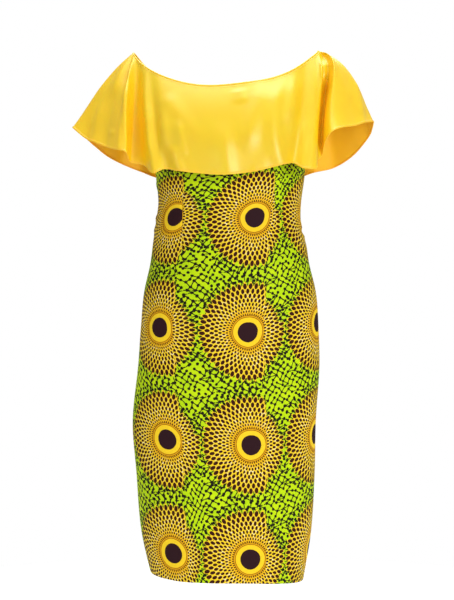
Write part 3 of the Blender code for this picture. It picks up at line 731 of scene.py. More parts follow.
def top_edge(turns):
    """The sheath's top edge: neckline, shoulder seam, then armhole. Turn 0 is the centre front, 1 the left
    side seam, 2 the centre back and 3 or -1 the right side seam."""
    turns = (np.asarray(turns, float) + 1) % 4 - 1
    front = turns <= 1
    side = np.where((turns >= 0) & (turns <= 2), 1.0, -1.0)
    share = np.where(front, np.abs(turns), np.abs(turns - 2))
    neck_shares = np.where(front, turns / NECK_SHARE, 2 + (turns - 2) / NECK_SHARE)
    neck_shares = np.where(share <= NECK_SHARE, neck_shares, side)
    neck = neck_seam(neck_shares)
    tip = np.where(side[..., None] > 0, STRAP_TIPS[1], STRAP_TIPS[-1])
    across = np.clip((share - NECK_SHARE) / (STRAP_SHARE - NECK_SHARE), 0, 1)[..., None]
    shoulder = neck + (tip - neck) * across
    t = np.clip((share - STRAP_SHARE) / (1 - STRAP_SHARE), 0, 1)[..., None]
    foot = body_point(side * math.pi / 2, UNDERARM_Z)
    reach = np.where(front, -ARMHOLE_REACH, ARMHOLE_REACH)
    level = np.full_like(reach, UNDERARM_Z * ARMHOLE_BOW_DEPTH)
    bow = np.stack([tip[..., 0] * ARMHOLE_BOW_WIDTH, reach, level], axis=-1)
    armhole = tip * (1 - t) ** 2 + bow * 2 * t * (1 - t) + foot * t * t
    return np.where(share[..., None] <= STRAP_SHARE, shoulder, armhole)


def sheath_row(turns, level):
    """One row of the sheath's outside. level 0 is the chest line, 1 the hem and -1 the top edge."""
    if level <= 0:
        top = top_edge(turns)
        angles = even_angles(CHEST_Z, turns)
        foot = body_point(angles, CHEST_Z)
        above = body_point(angles, CHEST_Z + NUDGE)
        rise = (above - foot) * ((top[..., 2:] - CHEST_Z) * YOKE_RISE / NUDGE)
        t = -level
        return foot * (1 - t) ** 2 + (foot + rise) * 2 * t * (1 - t) + top * t * t
    angles = even_angles(CHEST_Z + (HEM_FRONT_Z - CHEST_Z) * level, turns)
    return body_point(angles, CHEST_Z + (hem_height(angles) - CHEST_Z) * level)


def crease_height(points, rows, axes=(0, 2)):
    """How far the creases of a table lift the cloth, by where a point is seen along the third axis."""
    height = np.zeros(points.shape[:-1])
    for row in rows:
        start = np.array([row.x1, row.z1])
        line = np.array([row.x2, row.z2]) - start
        length = np.hypot(*line)
        line = line / length
        offset = points[..., axes] - start
        t = offset @ line / length
        inside = np.clip(t, 0, 1)
        sideways = offset @ np.array([-line[1], line[0]]) - row.bow * 4 * inside * (1 - inside)
        beyond = (t - inside) * length
        half = np.where(sideways < 0, row.left, row.right)
        near = np.exp(-(sideways**2 + beyond**2) / half**2)
        if row.fade_start:
            near = near * smooth_step(inside / row.fade_start)
        if row.fade_end:
            near = near * smooth_step((1 - inside) / row.fade_end)
        height += near * row.height
    return height


def grid_normals(grid):
    """Outward normals of a grid of points whose rows run down and columns run to the wearer's left."""
    return unit(np.cross(np.gradient(grid, axis=0), np.gradient(grid, axis=1)))


def grid_lengths(grid, axis):
    """Lengths along the rows or columns of a grid, from the first point of each."""
    steps = np.linalg.norm(np.diff(grid, axis=axis), axis=-1)
    start = np.zeros_like(np.take(steps, [0], axis=axis))
    return np.concatenate([start, np.cumsum(steps, axis=axis)], axis=axis)


def new_object(name, points, faces, coordinates, material):
    """A mesh object. coordinates holds one (u, v) in metres for each corner of each face."""
    data = bpy.data.meshes.new(name)
    data.from_pydata(points.tolist(), [], faces.tolist())
    layer = data.uv_layers.new(name="cloth")
    layer.data.foreach_set("uv", coordinates.ravel().astype(np.float32))
    data.materials.append(material)
    data.shade_smooth()
    thing = bpy.data.objects.new(name, data)
    bpy.context.scene.collection.objects.link(thing)
    return thing


def cloth_shell(name, outer, inner, edge, face_coordinates, material, reverse_shift=0.0):
    """A closed thin wall between two grids, with a rounded rim: edge holds the rim's middle points. On the
    inside the v coordinate is greater by reverse_shift, which the satin reads to paint shade on its reverse
    side."""
    rows, columns = outer.shape[:2]
    index = np.arange(rows * columns).reshape(rows, columns)
    back = index + rows * columns
    ring = np.concatenate([index[0, :-1], index[:-1, -1], index[-1, :0:-1], index[:0:-1, 0]])
    rim = np.arange(len(ring)) + 2 * rows * columns
    points = np.concatenate([outer.reshape(-1, 3), inner.reshape(-1, 3), edge.reshape(-1, 3)[ring]])

    def quads(a):
        return np.stack([a[:-1, :-1], a[1:, :-1], a[1:, 1:], a[:-1, 1:]], axis=-1).reshape(-1, 4)

    onward = np.roll(ring, -1)
    rim_onward = np.roll(rim, -1)
    faces = np.concatenate([
        quads(index),
        quads(back)[:, ::-1],
        np.stack([ring, onward, rim_onward, rim], axis=-1),
        np.stack([rim, rim_onward, onward + rows * columns, ring + rows * columns], axis=-1),
    ])
    corner = face_coordinates.reshape(-1, 4, 2)
    vertex = np.zeros((rows * columns, 2))
    vertex[quads(index).ravel()] = face_coordinates.reshape(-1, 2)
    rim_corner = np.stack([vertex[ring], vertex[onward], vertex[onward], vertex[ring]], axis=1)
    coordinates = np.concatenate([corner, corner[:, ::-1] + (0, reverse_shift), rim_corner, rim_corner])
    return new_object(name, points, faces, coordinates, material)


def quad_corners(values):
    """Values at a grid's points, given out to the four corners of each face."""
    return np.stack([values[:-1, :-1], values[1:, :-1], values[1:, 1:], values[:-1, 1:]], axis=2)


class Tree:
    """Builds a material's node tree from formulas."""

    def __init__(self, material):
        material.use_nodes = True
        self.nodes = material.node_tree.nodes
        self.links = material.node_tree.links
        self.shader = self.nodes["Principled BSDF"]

    def feed(self, socket, value):
        if isinstance(value, Field):
            self.links.new(value.socket, socket)
        elif isinstance(value, bpy.types.NodeSocket):
            self.links.new(value, socket)
        elif socket.type == "RGBA" and len(value) == 3:
            socket.default_value = (*value, 1.0)
        else:
            socket.default_value = value

    def node(self, kind, inputs=(), **settings):
        made = self.nodes.new(kind)
        for name, value in settings.items():
            setattr(made, name, value)
        for name, value in dict(inputs).items():
            self.feed(made.inputs[name], value)
        return made

    def math(self, operation, *values):
        made = self.node("ShaderNodeMath", dict(enumerate(values)), operation=operation)
        return Field(self, made.outputs[0])

    def vector(self, operation, *values, out="Vector"):
        made = self.node("ShaderNodeVectorMath", dict(enumerate(values)), operation=operation)
        return Field(self, made.outputs[out])

    def combine(self, x, y, z=0.0):
        return Field(self, self.node("ShaderNodeCombineXYZ", {"X": x, "Y": y, "Z": z}).outputs[0])

    def separate(self, vector):
        made = self.node("ShaderNodeSeparateXYZ", {0: vector})
        return [Field(self, out) for out in made.outputs]

    def blend(self, share, first, second):
        made = self.node("ShaderNodeMix", {0: share}, data_type="RGBA")
        self.feed(made.inputs[6], first)
        self.feed(made.inputs[7], second)
        return made.outputs[2]

    def ramp(self, value, low, high):
        """0 below low and 1 above high, or the other way round where high is the smaller."""
        made = self.node("ShaderNodeMapRange", {"Value": value, "From Min": low, "From Max": high})
        return Field(self, made.outputs[0])

    def noise(self, vector, scale, detail=2.0, out="Fac"):
        made = self.node(
            "ShaderNodeTexNoise", {"Vector": vector, "Scale": scale, "Detail": detail}, noise_dimensions="3D"
        )
        return Field(self, made.outputs[out])

    def bump(self, height, strength, depth):
        made = self.node("ShaderNodeBump", {"Strength": strength, "Distance": depth, "Height": height})
        self.feed(self.shader.inputs["Normal"], made.outputs[0])

    def chance(self, x, y, z=0.0):
        """Three random numbers from 0 to 1 that belong to whole numbers x, y and z."""
        return self.node("ShaderNodeTexWhiteNoise", {"Vector": self.combine(x, y, z)}, noise_dimensions="3D")


class Field:
    """A value in a node tree that is added, scaled and compared like a number."""

    def __init__(self, tree, socket):
        self.tree = tree
        self.socket = socket

    def __add__(self, other):
        return self.tree.math("ADD", self, other)

    def __sub__(self, other):
        return self.tree.math("SUBTRACT", self, other)

    def __mul__(self, other):
        return self.tree.math("MULTIPLY", self, other)

    def __truediv__(self, other):
        return self.tree.math("DIVIDE", self, other)

    def do(self, operation, *others):
        return self.tree.math(operation, self, *others)

    def rest(self):
        """What is left of 1."""
        return self * -1.0 + 1.0


def roundel_print(tree, across, down, colours):
    """Roundels in rows and columns: rings of seeds in a yellow net. Returns the distance from a roundel's
    middle, then 1 on a seed, in the net and on a stem or its bud beyond an outermost seed."""
    width, height = colours.repeat_width, colours.repeat_height
    x = across - ((across + LEFT_REACH) / width).do("FLOOR") * width
    y = down - (down / height).do("ROUND") * height
    past_join = x.do("GREATER_THAN", JOIN_X)
    x = x + past_join * JOIN_SHIFT
    radius = (x * x + y * y).do("SQRT").do("MAXIMUM", LEAST_RADIUS)
    seed_angle = 2 * math.pi / colours.seeds
    turn = y.do("ARCTAN2", x) * (1 / seed_angle)
    start = FIRST_SEED_RADIUS**RING_POWER
    ring = (radius.do("POWER", RING_POWER) - start) * (RING_DENSITY / 2)
    first = (turn + ring).do("ROUND")
    second = (turn - ring).do("ROUND")
    seed_turn = (first + second) * 0.5
    seed_ring = (first - second) * 0.5
    growth = tree.ramp(radius, FIRST_SEED_RADIUS, LAST_SEED_RADIUS).do("POWER", SEED_GROWTH_POWER)
    half_width = growth * (SEED_HALF_WIDTH[1] - SEED_HALF_WIDTH[0]) + SEED_HALF_WIDTH[0]
    half_length = growth * (SEED_HALF_LENGTH[1] - SEED_HALF_LENGTH[0]) + SEED_HALF_LENGTH[0]
    beside = (turn - seed_turn) / half_width
    beyond = (ring - seed_ring) / half_length
    oval = beside * beside + beyond * beyond
    outward = (ring - seed_ring).do("GREATER_THAN", 0.0)
    above = (seed_turn * seed_angle).do("SINE").do("GREATER_THAN", JOIN_ABOVE_SINE)
    reach = past_join * (above * -REACH_ABOVE_JOIN - REACH_BELOW_JOIN) + SEED_REACH

    def seed_radius(rings_out):
        """How far out the seeds of this ring lie, or of one that many rings further out."""
        return ((seed_ring + rings_out * 0.5) * (2 / RING_DENSITY) + start).do("POWER", 1 / RING_POWER)

    here = seed_radius(0).do("LESS_THAN", reach)
    next_out = seed_radius(1).do("LESS_THAN", reach)
    two_in = seed_radius(-2).do("LESS_THAN", reach)
    near_seed = tree.ramp(oval, *SEED_NET_EDGES)
    net = here * next_out.do("MAXIMUM", near_seed)
    past_rings = tree.ramp(radius, *(FIRST_SEED_RADIUS * share for share in BARE_SHARES))
    net = net.do("MAXIMUM", past_rings.rest())
    seed = tree.ramp(oval, *SEED_EDGES) * past_rings * here
    sideways = (turn - seed_turn).do("ABSOLUTE") * radius * seed_angle
    on_line = tree.ramp(sideways, STEM_HALF + INK_EDGE, STEM_HALF - INK_EDGE)
    grown = Field(tree, tree.chance(seed_turn, 0.0).outputs["Value"]).do("LESS_THAN", STEM_CHANCE)
    past_tip = here.rest() * two_in * grown
    stem = on_line * (past_tip * outward.rest()).do("MAXIMUM", here * next_out.rest() * outward)
    lengthways = radius - seed_radius(0)
    from_bud = (sideways * sideways + lengthways * lengthways).do("SQRT")
    bud = tree.ramp(from_bud, DOT_RADIUS + INK_EDGE, DOT_RADIUS - INK_EDGE) * past_tip
    return radius, seed, net, stem.do("MAXIMUM", bud)


def ground_print(tree, place):
    """Dots scattered one to a cell, and veins that join some of them. Returns 1 on a dot or a vein."""
    x, y, _ = tree.separate(place)
    x, y = x / DOT_SPACING, y / DOT_SPACING
    here = tree.combine(x, y)
    cell_x, cell_y = x.do("FLOOR"), y.do("FLOOR")
    edge = INK_EDGE / DOT_SPACING
    dot_radius, vein_half = DOT_RADIUS / DOT_SPACING, VEIN_HALF / DOT_SPACING
    inset = (1 - DOT_SCATTER) / 2

    def dot(right, up):
        column, row = cell_x + right, cell_y + up
        random = Field(tree, tree.chance(column, row).outputs["Color"])
        scattered = tree.vector("MULTIPLY_ADD", random, (DOT_SCATTER, DOT_SCATTER, 0.0), (inset, inset, 0.0))
        return tree.vector("ADD", tree.combine(column, row), scattered)

    own = dot(0, 0)
    mark = tree.ramp(tree.vector("DISTANCE", here, own, out="Value"), dot_radius + edge, dot_radius - edge)
    from_own = tree.vector("SUBTRACT", here, own)
    for right, up in NEIGHBOURS:
        line = tree.vector("SUBTRACT", dot(right, up), own)
        along = tree.vector("DOT_PRODUCT", from_own, line, out="Value")
        length = tree.vector("DOT_PRODUCT", line, line, out="Value")
        share = (along / length).do("MAXIMUM", 0.0).do("MINIMUM", 1.0)
        foot = tree.vector("SUBTRACT", from_own, tree.vector("MULTIPLY", line, tree.combine(share, share)))
        away = tree.vector("LENGTH", foot, out="Value")
        kind = 1.0 + abs(up) + 2.0 * abs(up * right)
        link = tree.chance(cell_x + min(right, 0), cell_y + min(up, 0), kind)
        chance = CROSS_VEIN_CHANCE if right and up else SIDE_VEIN_CHANCE
        shown = Field(tree, link.outputs["Value"]).do("LESS_THAN", chance)
        mark = mark.do("MAXIMUM", tree.ramp(away, vein_half + edge, vein_half - edge) * shown)
    return mark


def flat_cloth(tree):
    """Where a point lies on the flat cloth, in metres."""
    return Field(tree, tree.node("ShaderNodeUVMap", uv_map="cloth").outputs[0])


def wandered(tree, place, flat, wander):
    """A place moved unevenly, by noise on the flat cloth."""
    noise = tree.noise(flat, wander.scale, detail=wander.detail, out="Color")
    moved = tree.vector("SUBTRACT", noise, (0.5, 0.5, 0.5))
    return tree.vector("MULTIPLY_ADD", moved, (wander.reach, wander.reach, 0.0), place)


def cotton_material(colours):
    material = bpy.data.materials.new("wax_print")
    tree = Tree(material)
    flat = flat_cloth(tree)
    across, down, _ = tree.separate(wandered(tree, flat, flat, HAND_WANDER))
    radius, seed, inside, stem = roundel_print(tree, across, down, colours)
    turn = {"Vector": flat, "Angle": GROUND_TURN}
    turned = tree.node("ShaderNodeVectorRotate", turn, rotation_type="Z_AXIS")
    drifted = wandered(tree, turned.outputs[0], flat, GROUND_DRIFT)
    veins = ground_print(tree, wandered(tree, drifted, flat, GROUND_WIGGLE)).do("MAXIMUM", stem)
    tint = tree.ramp(tree.noise(flat, DYE_SCALE), *DYE_EDGES)
    dark_lime = tuple(value * share for value, share in zip(colours.ground, DARK_LIME_SHARES))
    ground = tree.blend(veins, tree.blend(tint, colours.ground, dark_lime), colours.vein)
    net = tree.blend(tree.ramp(radius, *GOLD_FADE), colours.net, colours.gold)
    flecks = tree.ramp(tree.noise(flat, FLECK_SCALE), *FLECK_EDGES)
    flecks = flecks * tree.ramp(radius, *FLECKS_COME) * tree.ramp(radius, *FLECKS_GO)
    net = tree.blend(flecks * FLECK_SHARE, net, FLECK_COLOUR)
    net = tree.blend(seed, net, colours.seed)
    for ring_radius in THIN_RING_RADII:
        edges = (THIN_RING_HALF * share for share in THIN_RING_EDGES)
        net = tree.blend(tree.ramp((radius - ring_radius).do("ABSOLUTE"), *edges), net, colours.rust)
    for disc_radius, colour in ((GOLD_RADIUS, colours.net), (EYE_RADIUS, colours.eye)):
        net = tree.blend(tree.ramp(radius, disc_radius + INK_EDGE, disc_radius - INK_EDGE), net, colour)
    tree.feed(tree.shader.inputs["Base Color"], tree.blend(inside, ground, net))
    tree.shader.inputs["Roughness"].default_value = COTTON_ROUGHNESS
    tree.shader.inputs["Specular IOR Level"].default_value = COTTON_SPECULAR
    tree.bump(plain_weave(tree, flat), WEAVE_STRENGTH, WEAVE_DEPTH)
    return material


def plain_weave(tree, flat):
    """Threads over and under, in both directions."""
    x, y, _ = tree.separate(flat)
    return (x * (2 * math.pi / WEAVE_PITCH)).do("SINE") * (y * (2 * math.pi / WEAVE_PITCH)).do("SINE")


def satin_material(finish):
    material = bpy.data.materials.new("cape_satin")
    tree = Tree(material)
    flat = flat_cloth(tree)
    cloudy = tree.ramp(tree.noise(flat, CLOUD_SCALE), *CLOUD_EDGES)
    dyed = tree.blend(cloudy, finish.colour, finish.shade)
    # Painted shade: the reverse side is painted a deeper orange yellow for the shaded inside of the cape; it
    # is also rougher
    edges = (REVERSE_SHIFT * share for share in REVERSE_EDGES)
    on_shaded_reverse = tree.ramp(tree.separate(flat)[1], *edges)
    tree.feed(tree.shader.inputs["Base Color"], tree.blend(on_shaded_reverse, dyed, finish.reverse))
    lustre = tree.noise(tree.vector("MULTIPLY", flat, FLOAT_SCALES), 1.0, detail=1.0)
    roughness = tree.ramp(lustre, *LUSTRE_RANGE) + on_shaded_reverse * REVERSE_ROUGHNESS
    tree.feed(tree.shader.inputs["Roughness"], roughness)
    tree.shader.inputs["Specular IOR Level"].default_value = SATIN_SPECULAR
    tree.shader.inputs["Specular Tint"].default_value = SATIN_TINT
    tree.shader.inputs["Subsurface Weight"].default_value = GLOW_SHARE
    tree.shader.inputs["Subsurface Radius"].default_value = GLOW_COLOUR
    tree.shader.inputs["Subsurface Scale"].default_value = GLOW_DEPTH
    tree.bump(lustre, FLOAT_STRENGTH, FLOAT_DEPTH)
    return material


def thread_material(name, colour):
    material = bpy.data.materials.new(name)
    tree = Tree(material)
    place = Field(tree, tree.node("ShaderNodeTexCoord").outputs["Object"])
    plies = tree.ramp(tree.noise(place, PLY_SCALE), *PLY_EDGES)
    darker = tuple(value * PLY_DARKER for value in colour)
    tree.feed(tree.shader.inputs["Base Color"], tree.blend(plies, colour, darker))
    tree.shader.inputs["Roughness"].default_value = THREAD_ROUGHNESS
    return material


def settings():
    return bpy.context.scene.cape_dress


def shared_material(name):
    made = bpy.data.materials.get(name)
    if made:
        return made
    if name == "wax_print":
        return cotton_material(settings().print_colours)
    if name == "cape_satin":
        return satin_material(settings().satin)
    if name == "satin_thread":
        return thread_material(name, settings().satin.thread)
    return thread_material(name, settings().print_colours.net)


def declare(piece, node=None):
    """Attaches a finished piece to the body it rides on, and hides the CAD node that it stands for."""
    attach(piece, BODY)
    if node:
        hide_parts(node)


def turn_of_x(x, z):
    """How far round the quarter a point of the section lies, by its distance from the centre."""
    quarter = 0 if x > 0 else -1
    angles, lengths = quarter_table(z, quarter)
    across = body_point(angles, z)[:, 0]
    return quarter + np.interp(x, across, lengths) / lengths[-1]


def dart_columns(columns):
    """The columns of the front's grid that follow the right dart, the centre front and the left dart."""
    return columns // 4, columns // 2, columns - columns // 4


def front_turns(levels, columns):
    """Turns of each point of the front's grid: a column follows each waist dart."""
    right, middle, left = dart_columns(columns)
    rows = []
    for level in levels:
        z = CHEST_Z + (HEM_FRONT_Z - CHEST_Z) * max(level, 0)
        stations = [-1, turn_of_x(-DART_RIGHT_X, z), 0, turn_of_x(DART_LEFT_X, z), 1]
        rows.append(np.interp(np.arange(columns + 1), [0, right, middle, left, columns], stations))
    return np.array(rows)


def dart_share(z, dart):
    """How much of its full intake a waist dart takes in at a height, from 0 to 1."""
    upper = np.clip((z - dart.top_z) / (dart.waist_z - dart.top_z), 0, 1)
    lower = np.clip((z - dart.foot_z) / (dart.waist_z - dart.foot_z), 0, 1)
    return np.where(z > dart.waist_z, upper, lower)


def dart_intake(z):
    """Cloth taken in by a waist dart of the front at a height."""
    return DART_INTAKE * dart_share(z, FRONT_DART)


def seam_dip(distance, depth):
    """A seam's soft groove, by the distance from it."""
    return -depth * np.exp(-((distance / SEAM_HALF) ** 2))


def side_seams(across):
    """The grooves at both sides of a piece, by the length across it from its first side."""
    return seam_dip(across, SEAM_DEPTH) + seam_dip(across[:, [-1]] - across, SEAM_DEPTH)


def dart_groove(distance, z, dart):
    """A dart's groove, by the distance from it. It fades towards the dart's two points."""
    return seam_dip(distance, DART_DEPTH) * np.clip(dart_share(z, dart) * DART_GROOVE_SLOPE, 0, 1)


def front_coordinates(grid):
    """Print coordinates at the corners of the front's faces, which jump where a dart takes cloth in."""
    width, height = settings().print_colours.repeat_width, settings().print_colours.repeat_height
    right, middle, left = dart_columns(grid.shape[1] - 1)
    z = grid[..., 2]
    row_z = z[:, middle]
    across = grid_lengths(grid, 1)
    across = across - across[:, [middle]]
    marks, marked, downs = [], [], []
    for side, towards in (("right", -1), ("middle", 0), ("left", 1)):
        heights = np.array([getattr(row, side + "_z") for row in ROUNDEL_ROWS])
        places = np.array([getattr(row, side + "_place") for row in ROUNDEL_ROWS])
        centres = np.interp(-row_z, -heights, places + towards * dart_intake(heights))
        centres += PRINT_LEANS[side] * np.maximum(row_z - heights[0], 0)
        for offset in (-SEED_REACH, 0, JOIN_X):
            marks.append(centres + offset)
            marked.append(towards * width + offset)
        rows_down = np.interp(-z, -heights, np.arange(len(heights)))
        above = np.minimum(heights[0] - z, 0) / height * PRINT_RISES[side]
        below = np.maximum(heights[-1] - z, 0) / height
        downs.append(rows_down + above + below)
    marks = np.stack(marks, axis=1)
    regions = []
    for towards in (-1, 0, 1):
        flat = across + towards * dart_intake(row_z)[:, None]
        u = np.array([np.interp(flat[i], marks[i], marked) for i in range(len(flat))])
        u += np.minimum(flat - marks[:, :1], 0) + np.maximum(flat - marks[:, -1:], 0)
        share = np.clip(u / width, -1, 1)
        v = downs[1] + np.abs(share) * np.where(share < 0, downs[0] - downs[1], downs[2] - downs[1])
        regions.append(quad_corners(np.stack([u, -v * height], axis=-1)))
    chosen = regions[1].copy()
    chosen[:, :right] = regions[0][:, :right]
    chosen[:, left:] = regions[2][:, left:]
    return chosen


def back_coordinates(grid, piece):
    """Print coordinates at the corners of a back's faces: the print meets the centre seam unmatched."""
    across = grid_lengths(grid, 1)
    if piece == "sheath_back_left":
        across = across - across[:, [-1]]
    u = across + BACK_PRINT_PLACES[piece]
    v = grid[..., 2] - ROUNDEL_ROWS[0].middle_z
    return quad_corners(np.stack([u, v], axis=-1))


def sheath_cloth(piece):
    """The outside of a sheath piece with its seams and creases, its normals and its print coordinates."""
    sizes = settings().cloth
    levels = np.concatenate([np.linspace(-1, 0, YOKE_ROWS)[:-1], np.linspace(0, 1, sizes.sheath_rows + 1)])
    if piece == "sheath_front":
        turns = front_turns(levels, sizes.sheath_columns)
    else:
        first = 1 if piece == "sheath_back_left" else 2
        turns = np.tile(np.linspace(first, first + 1, sizes.sheath_columns // 2 + 1), (len(levels), 1))
    grid = np.array([sheath_row(turns[i], level) for i, level in enumerate(levels)])
    normals = grid_normals(grid)
    across = grid_lengths(grid, 1)
    lift = side_seams(across)
    down = grid_lengths(grid, 0)
    to_hem = down[[-1], :] - down
    lift += TURN_UP_LIFT * smooth_step((HEM_TURN_UP - to_hem) / TURN_UP_SLOPE)
    z = grid[..., 2]
    if piece == "sheath_front":
        right, _, left = dart_columns(sizes.sheath_columns)
        for column in (right, left):
            lift += dart_groove(across - across[:, [column]], z, FRONT_DART)
        lift += crease_height(grid, SHEATH_FRONT_CREASES)
        corners = front_coordinates(grid)
    else:
        side = 1 if piece == "sheath_back_left" else -1
        lift += dart_groove(grid[..., 0] - side * BACK_DART_X, z, BACK_DART)
        lift += crease_height(grid, SHEATH_BACK_CREASES)
        corners = back_coordinates(grid, piece)
        open_share = np.clip((SLIT_TOP_Z - z) / (SLIT_TOP_Z - HEM_BACK_Z), 0, 1)
        to_slit = across[:, [-1]] - across if side == 1 else across
        grid[..., 0] += side * SLIT_GAP / 2 * open_share * np.clip(1 - to_slit / SLIT_PULL, 0, 1)
    return grid + normals * lift[..., None], normals, corners


def build_sheath_piece(piece, node):
    outer, normals, corners = sheath_cloth(piece)
    inner = outer - normals * settings().cloth.cotton
    made = cloth_shell(piece, outer, inner, (outer + inner) / 2, corners, shared_material("wax_print"))
    declare(made, node)
    sheet_area(outer)


class DRESS_OT_sheath(bpy.types.Operator):
    """Builds the front and the two backs of the printed sheath"""

    bl_idname = "dress.sheath"
    bl_label = "Sheath"

    def execute(self, context):
        build_sheath_piece("sheath_front", "front_panel")
        build_sheath_piece("sheath_back_left", "back_panel_left")
        build_sheath_piece("sheath_back_right", "back_panel_right")
        return {"FINISHED"}


def sheet_area(grid):
    """Area of one side of a grid of points."""
    a, b, c, d = grid[:-1, :-1], grid[1:, :-1], grid[1:, 1:], grid[:-1, 1:]
    halves = np.linalg.norm(np.cross(b - a, c - a), axis=-1) + np.linalg.norm(np.cross(c - a, d - a), axis=-1)
    return float(halves.sum() / 2)


def cape_cloth(piece):
    """The outside of a cape piece with its creases, seams and rolled hem, its inside, and its normals."""
    sizes = settings().cloth
    knots = [*FOLD_KNOTS, FOLD_LENGTH]
    if piece == "satin_cape_front":
        first, last, creases = knots[0], knots[LEFT_SEAM_ROW], CAPE_FRONT_CREASES
    else:
        first, last, creases = knots[LEFT_SEAM_ROW], knots[-1], CAPE_BACK_CREASES
    dense = np.linspace(first, last, HEM_STEPS + 1)
    steps = np.linalg.norm(np.diff(cape_point(dense, 1.0), axis=0), axis=1)
    steps += NECK_WEIGHT * np.linalg.norm(np.diff(cape_point(dense, 0.0), axis=0), axis=1)
    so_far = np.concatenate([[0], np.cumsum(steps)])
    places = np.interp(np.linspace(0, so_far[-1], sizes.cape_columns + 1), so_far, dense)
    upper = np.linspace(0, 1 - HEM_BAND, sizes.cape_rows + 1)
    drops = np.concatenate([upper[:-1], np.linspace(1 - HEM_BAND, 1, HEM_ROWS + 1)])
    grid = cape_point(places[None, :], drops[:, None])
    if piece == "satin_cape_front":
        grid[..., 1] -= crease_height(grid, CAPE_BRIDGES)
    lift = crease_height(grid, creases)
    for side, rows in ((1, CAPE_LEFT_CREASES), (-1, CAPE_RIGHT_CREASES)):
        on_sleeve = smooth_step((side * grid[..., 0] - SLEEVE_X) / SLEEVE_BLEND)
        lift += crease_height(grid, rows, (1, 2)) * on_sleeve
    grid = grid + grid_normals(grid) * lift[..., None]
    normals = grid_normals(grid)
    down = grid_lengths(grid, 0)
    from_fold = np.abs(down[[-1], :] - down - sizes.cape_hem / 2) / (sizes.cape_hem / 2)
    bead = HEM_BEAD * np.sqrt(np.clip(1 - from_fold**2, 0, 1))
    outer = grid + normals * (bead + side_seams(grid_lengths(grid, 1)))[..., None]
    inner = grid - normals * (sizes.satin + bead)[..., None]
    return outer, inner, normals


def build_cape_piece(piece, node):
    outer, inner, _ = cape_cloth(piece)
    down = grid_lengths(outer, 0)
    hem = grid_lengths(outer, 1)[[-1], :]
    corners = quad_corners(np.stack([hem + np.zeros_like(down), -down], axis=-1))
    satin = shared_material("cape_satin")
    made = cloth_shell(piece, outer, inner, (outer + inner) / 2, corners, satin, REVERSE_SHIFT)
    declare(made, node)
    width = float(hem[0, -1])
    area = min(sheet_area(outer), width * CAPE_DEPTH)


class DRESS_OT_cape(bpy.types.Operator):
    """Builds the front and back of the satin cape"""

    bl_idname = "dress.cape"
    bl_label = "Cape"

    def execute(self, context):
        build_cape_piece("satin_cape_front", "cape_front")
        build_cape_piece("satin_cape_back", "cape_back")
        return {"FINISHED"}


def stitch_nodes():
    """The node group that lays a stitch at each step along a line of edges."""
    group = bpy.data.node_groups.get("stitches_along_line")
    if group:
        return group
    group = bpy.data.node_groups.new("stitches_along_line", "GeometryNodeTree")
    group.interface.new_socket("Line", in_out="INPUT", socket_type="NodeSocketGeometry")
    for name in ("Length", "Pitch", "Thickness"):
        group.interface.new_socket(name, in_out="INPUT", socket_type="NodeSocketFloat")
    group.interface.new_socket("Thread", in_out="INPUT", socket_type="NodeSocketMaterial")
    group.interface.new_socket("Stitches", in_out="OUTPUT", socket_type="NodeSocketGeometry")
    nodes = group.nodes
    start = nodes.new("NodeGroupInput")
    curve = nodes.new("GeometryNodeMeshToCurve")
    steps = nodes.new("GeometryNodeResampleCurve")
    steps.mode = "LENGTH"
    points = nodes.new("GeometryNodeCurveToPoints")
    points.mode = "EVALUATED"
    ball = nodes.new("GeometryNodeMeshUVSphere")
    ball.inputs["Segments"].default_value = STITCH_SEGMENTS
    ball.inputs["Rings"].default_value = STITCH_RINGS
    ball.inputs["Radius"].default_value = 0.5
    size = nodes.new("ShaderNodeCombineXYZ")
    shaped = nodes.new("GeometryNodeTransform")
    uneven = nodes.new("FunctionNodeRandomValue")
    uneven.data_type = "FLOAT"
    uneven.inputs[2].default_value = STITCH_VARIES[0]
    uneven.inputs[3].default_value = STITCH_VARIES[1]
    uneven.inputs["Seed"].default_value = STITCH_SEED
    laid = nodes.new("GeometryNodeInstanceOnPoints")
    real = nodes.new("GeometryNodeRealizeInstances")
    coloured = nodes.new("GeometryNodeSetMaterial")
    finish = nodes.new("NodeGroupOutput")
    for source, output, target, socket in (
        (start, "Line", curve, "Mesh"),
        (curve, "Curve", steps, "Curve"),
        (start, "Pitch", steps, "Length"),
        (steps, "Curve", points, "Curve"),
        (start, "Thickness", size, "X"),
        (start, "Thickness", size, "Y"),
        (start, "Length", size, "Z"),
        (ball, "Mesh", shaped, "Geometry"),
        (size, "Vector", shaped, "Scale"),
        (points, "Points", laid, "Points"),
        (points, "Rotation", laid, "Rotation"),
        (shaped, "Geometry", laid, "Instance"),
        (uneven, 1, laid, "Scale"),
        (laid, "Instances", real, "Geometry"),
        (real, "Geometry", coloured, "Geometry"),
        (start, "Thread", coloured, "Material"),
        (coloured, "Geometry", finish, "Stitches"),
    ):
        group.links.new(source.outputs[output], target.inputs[socket])
    return group


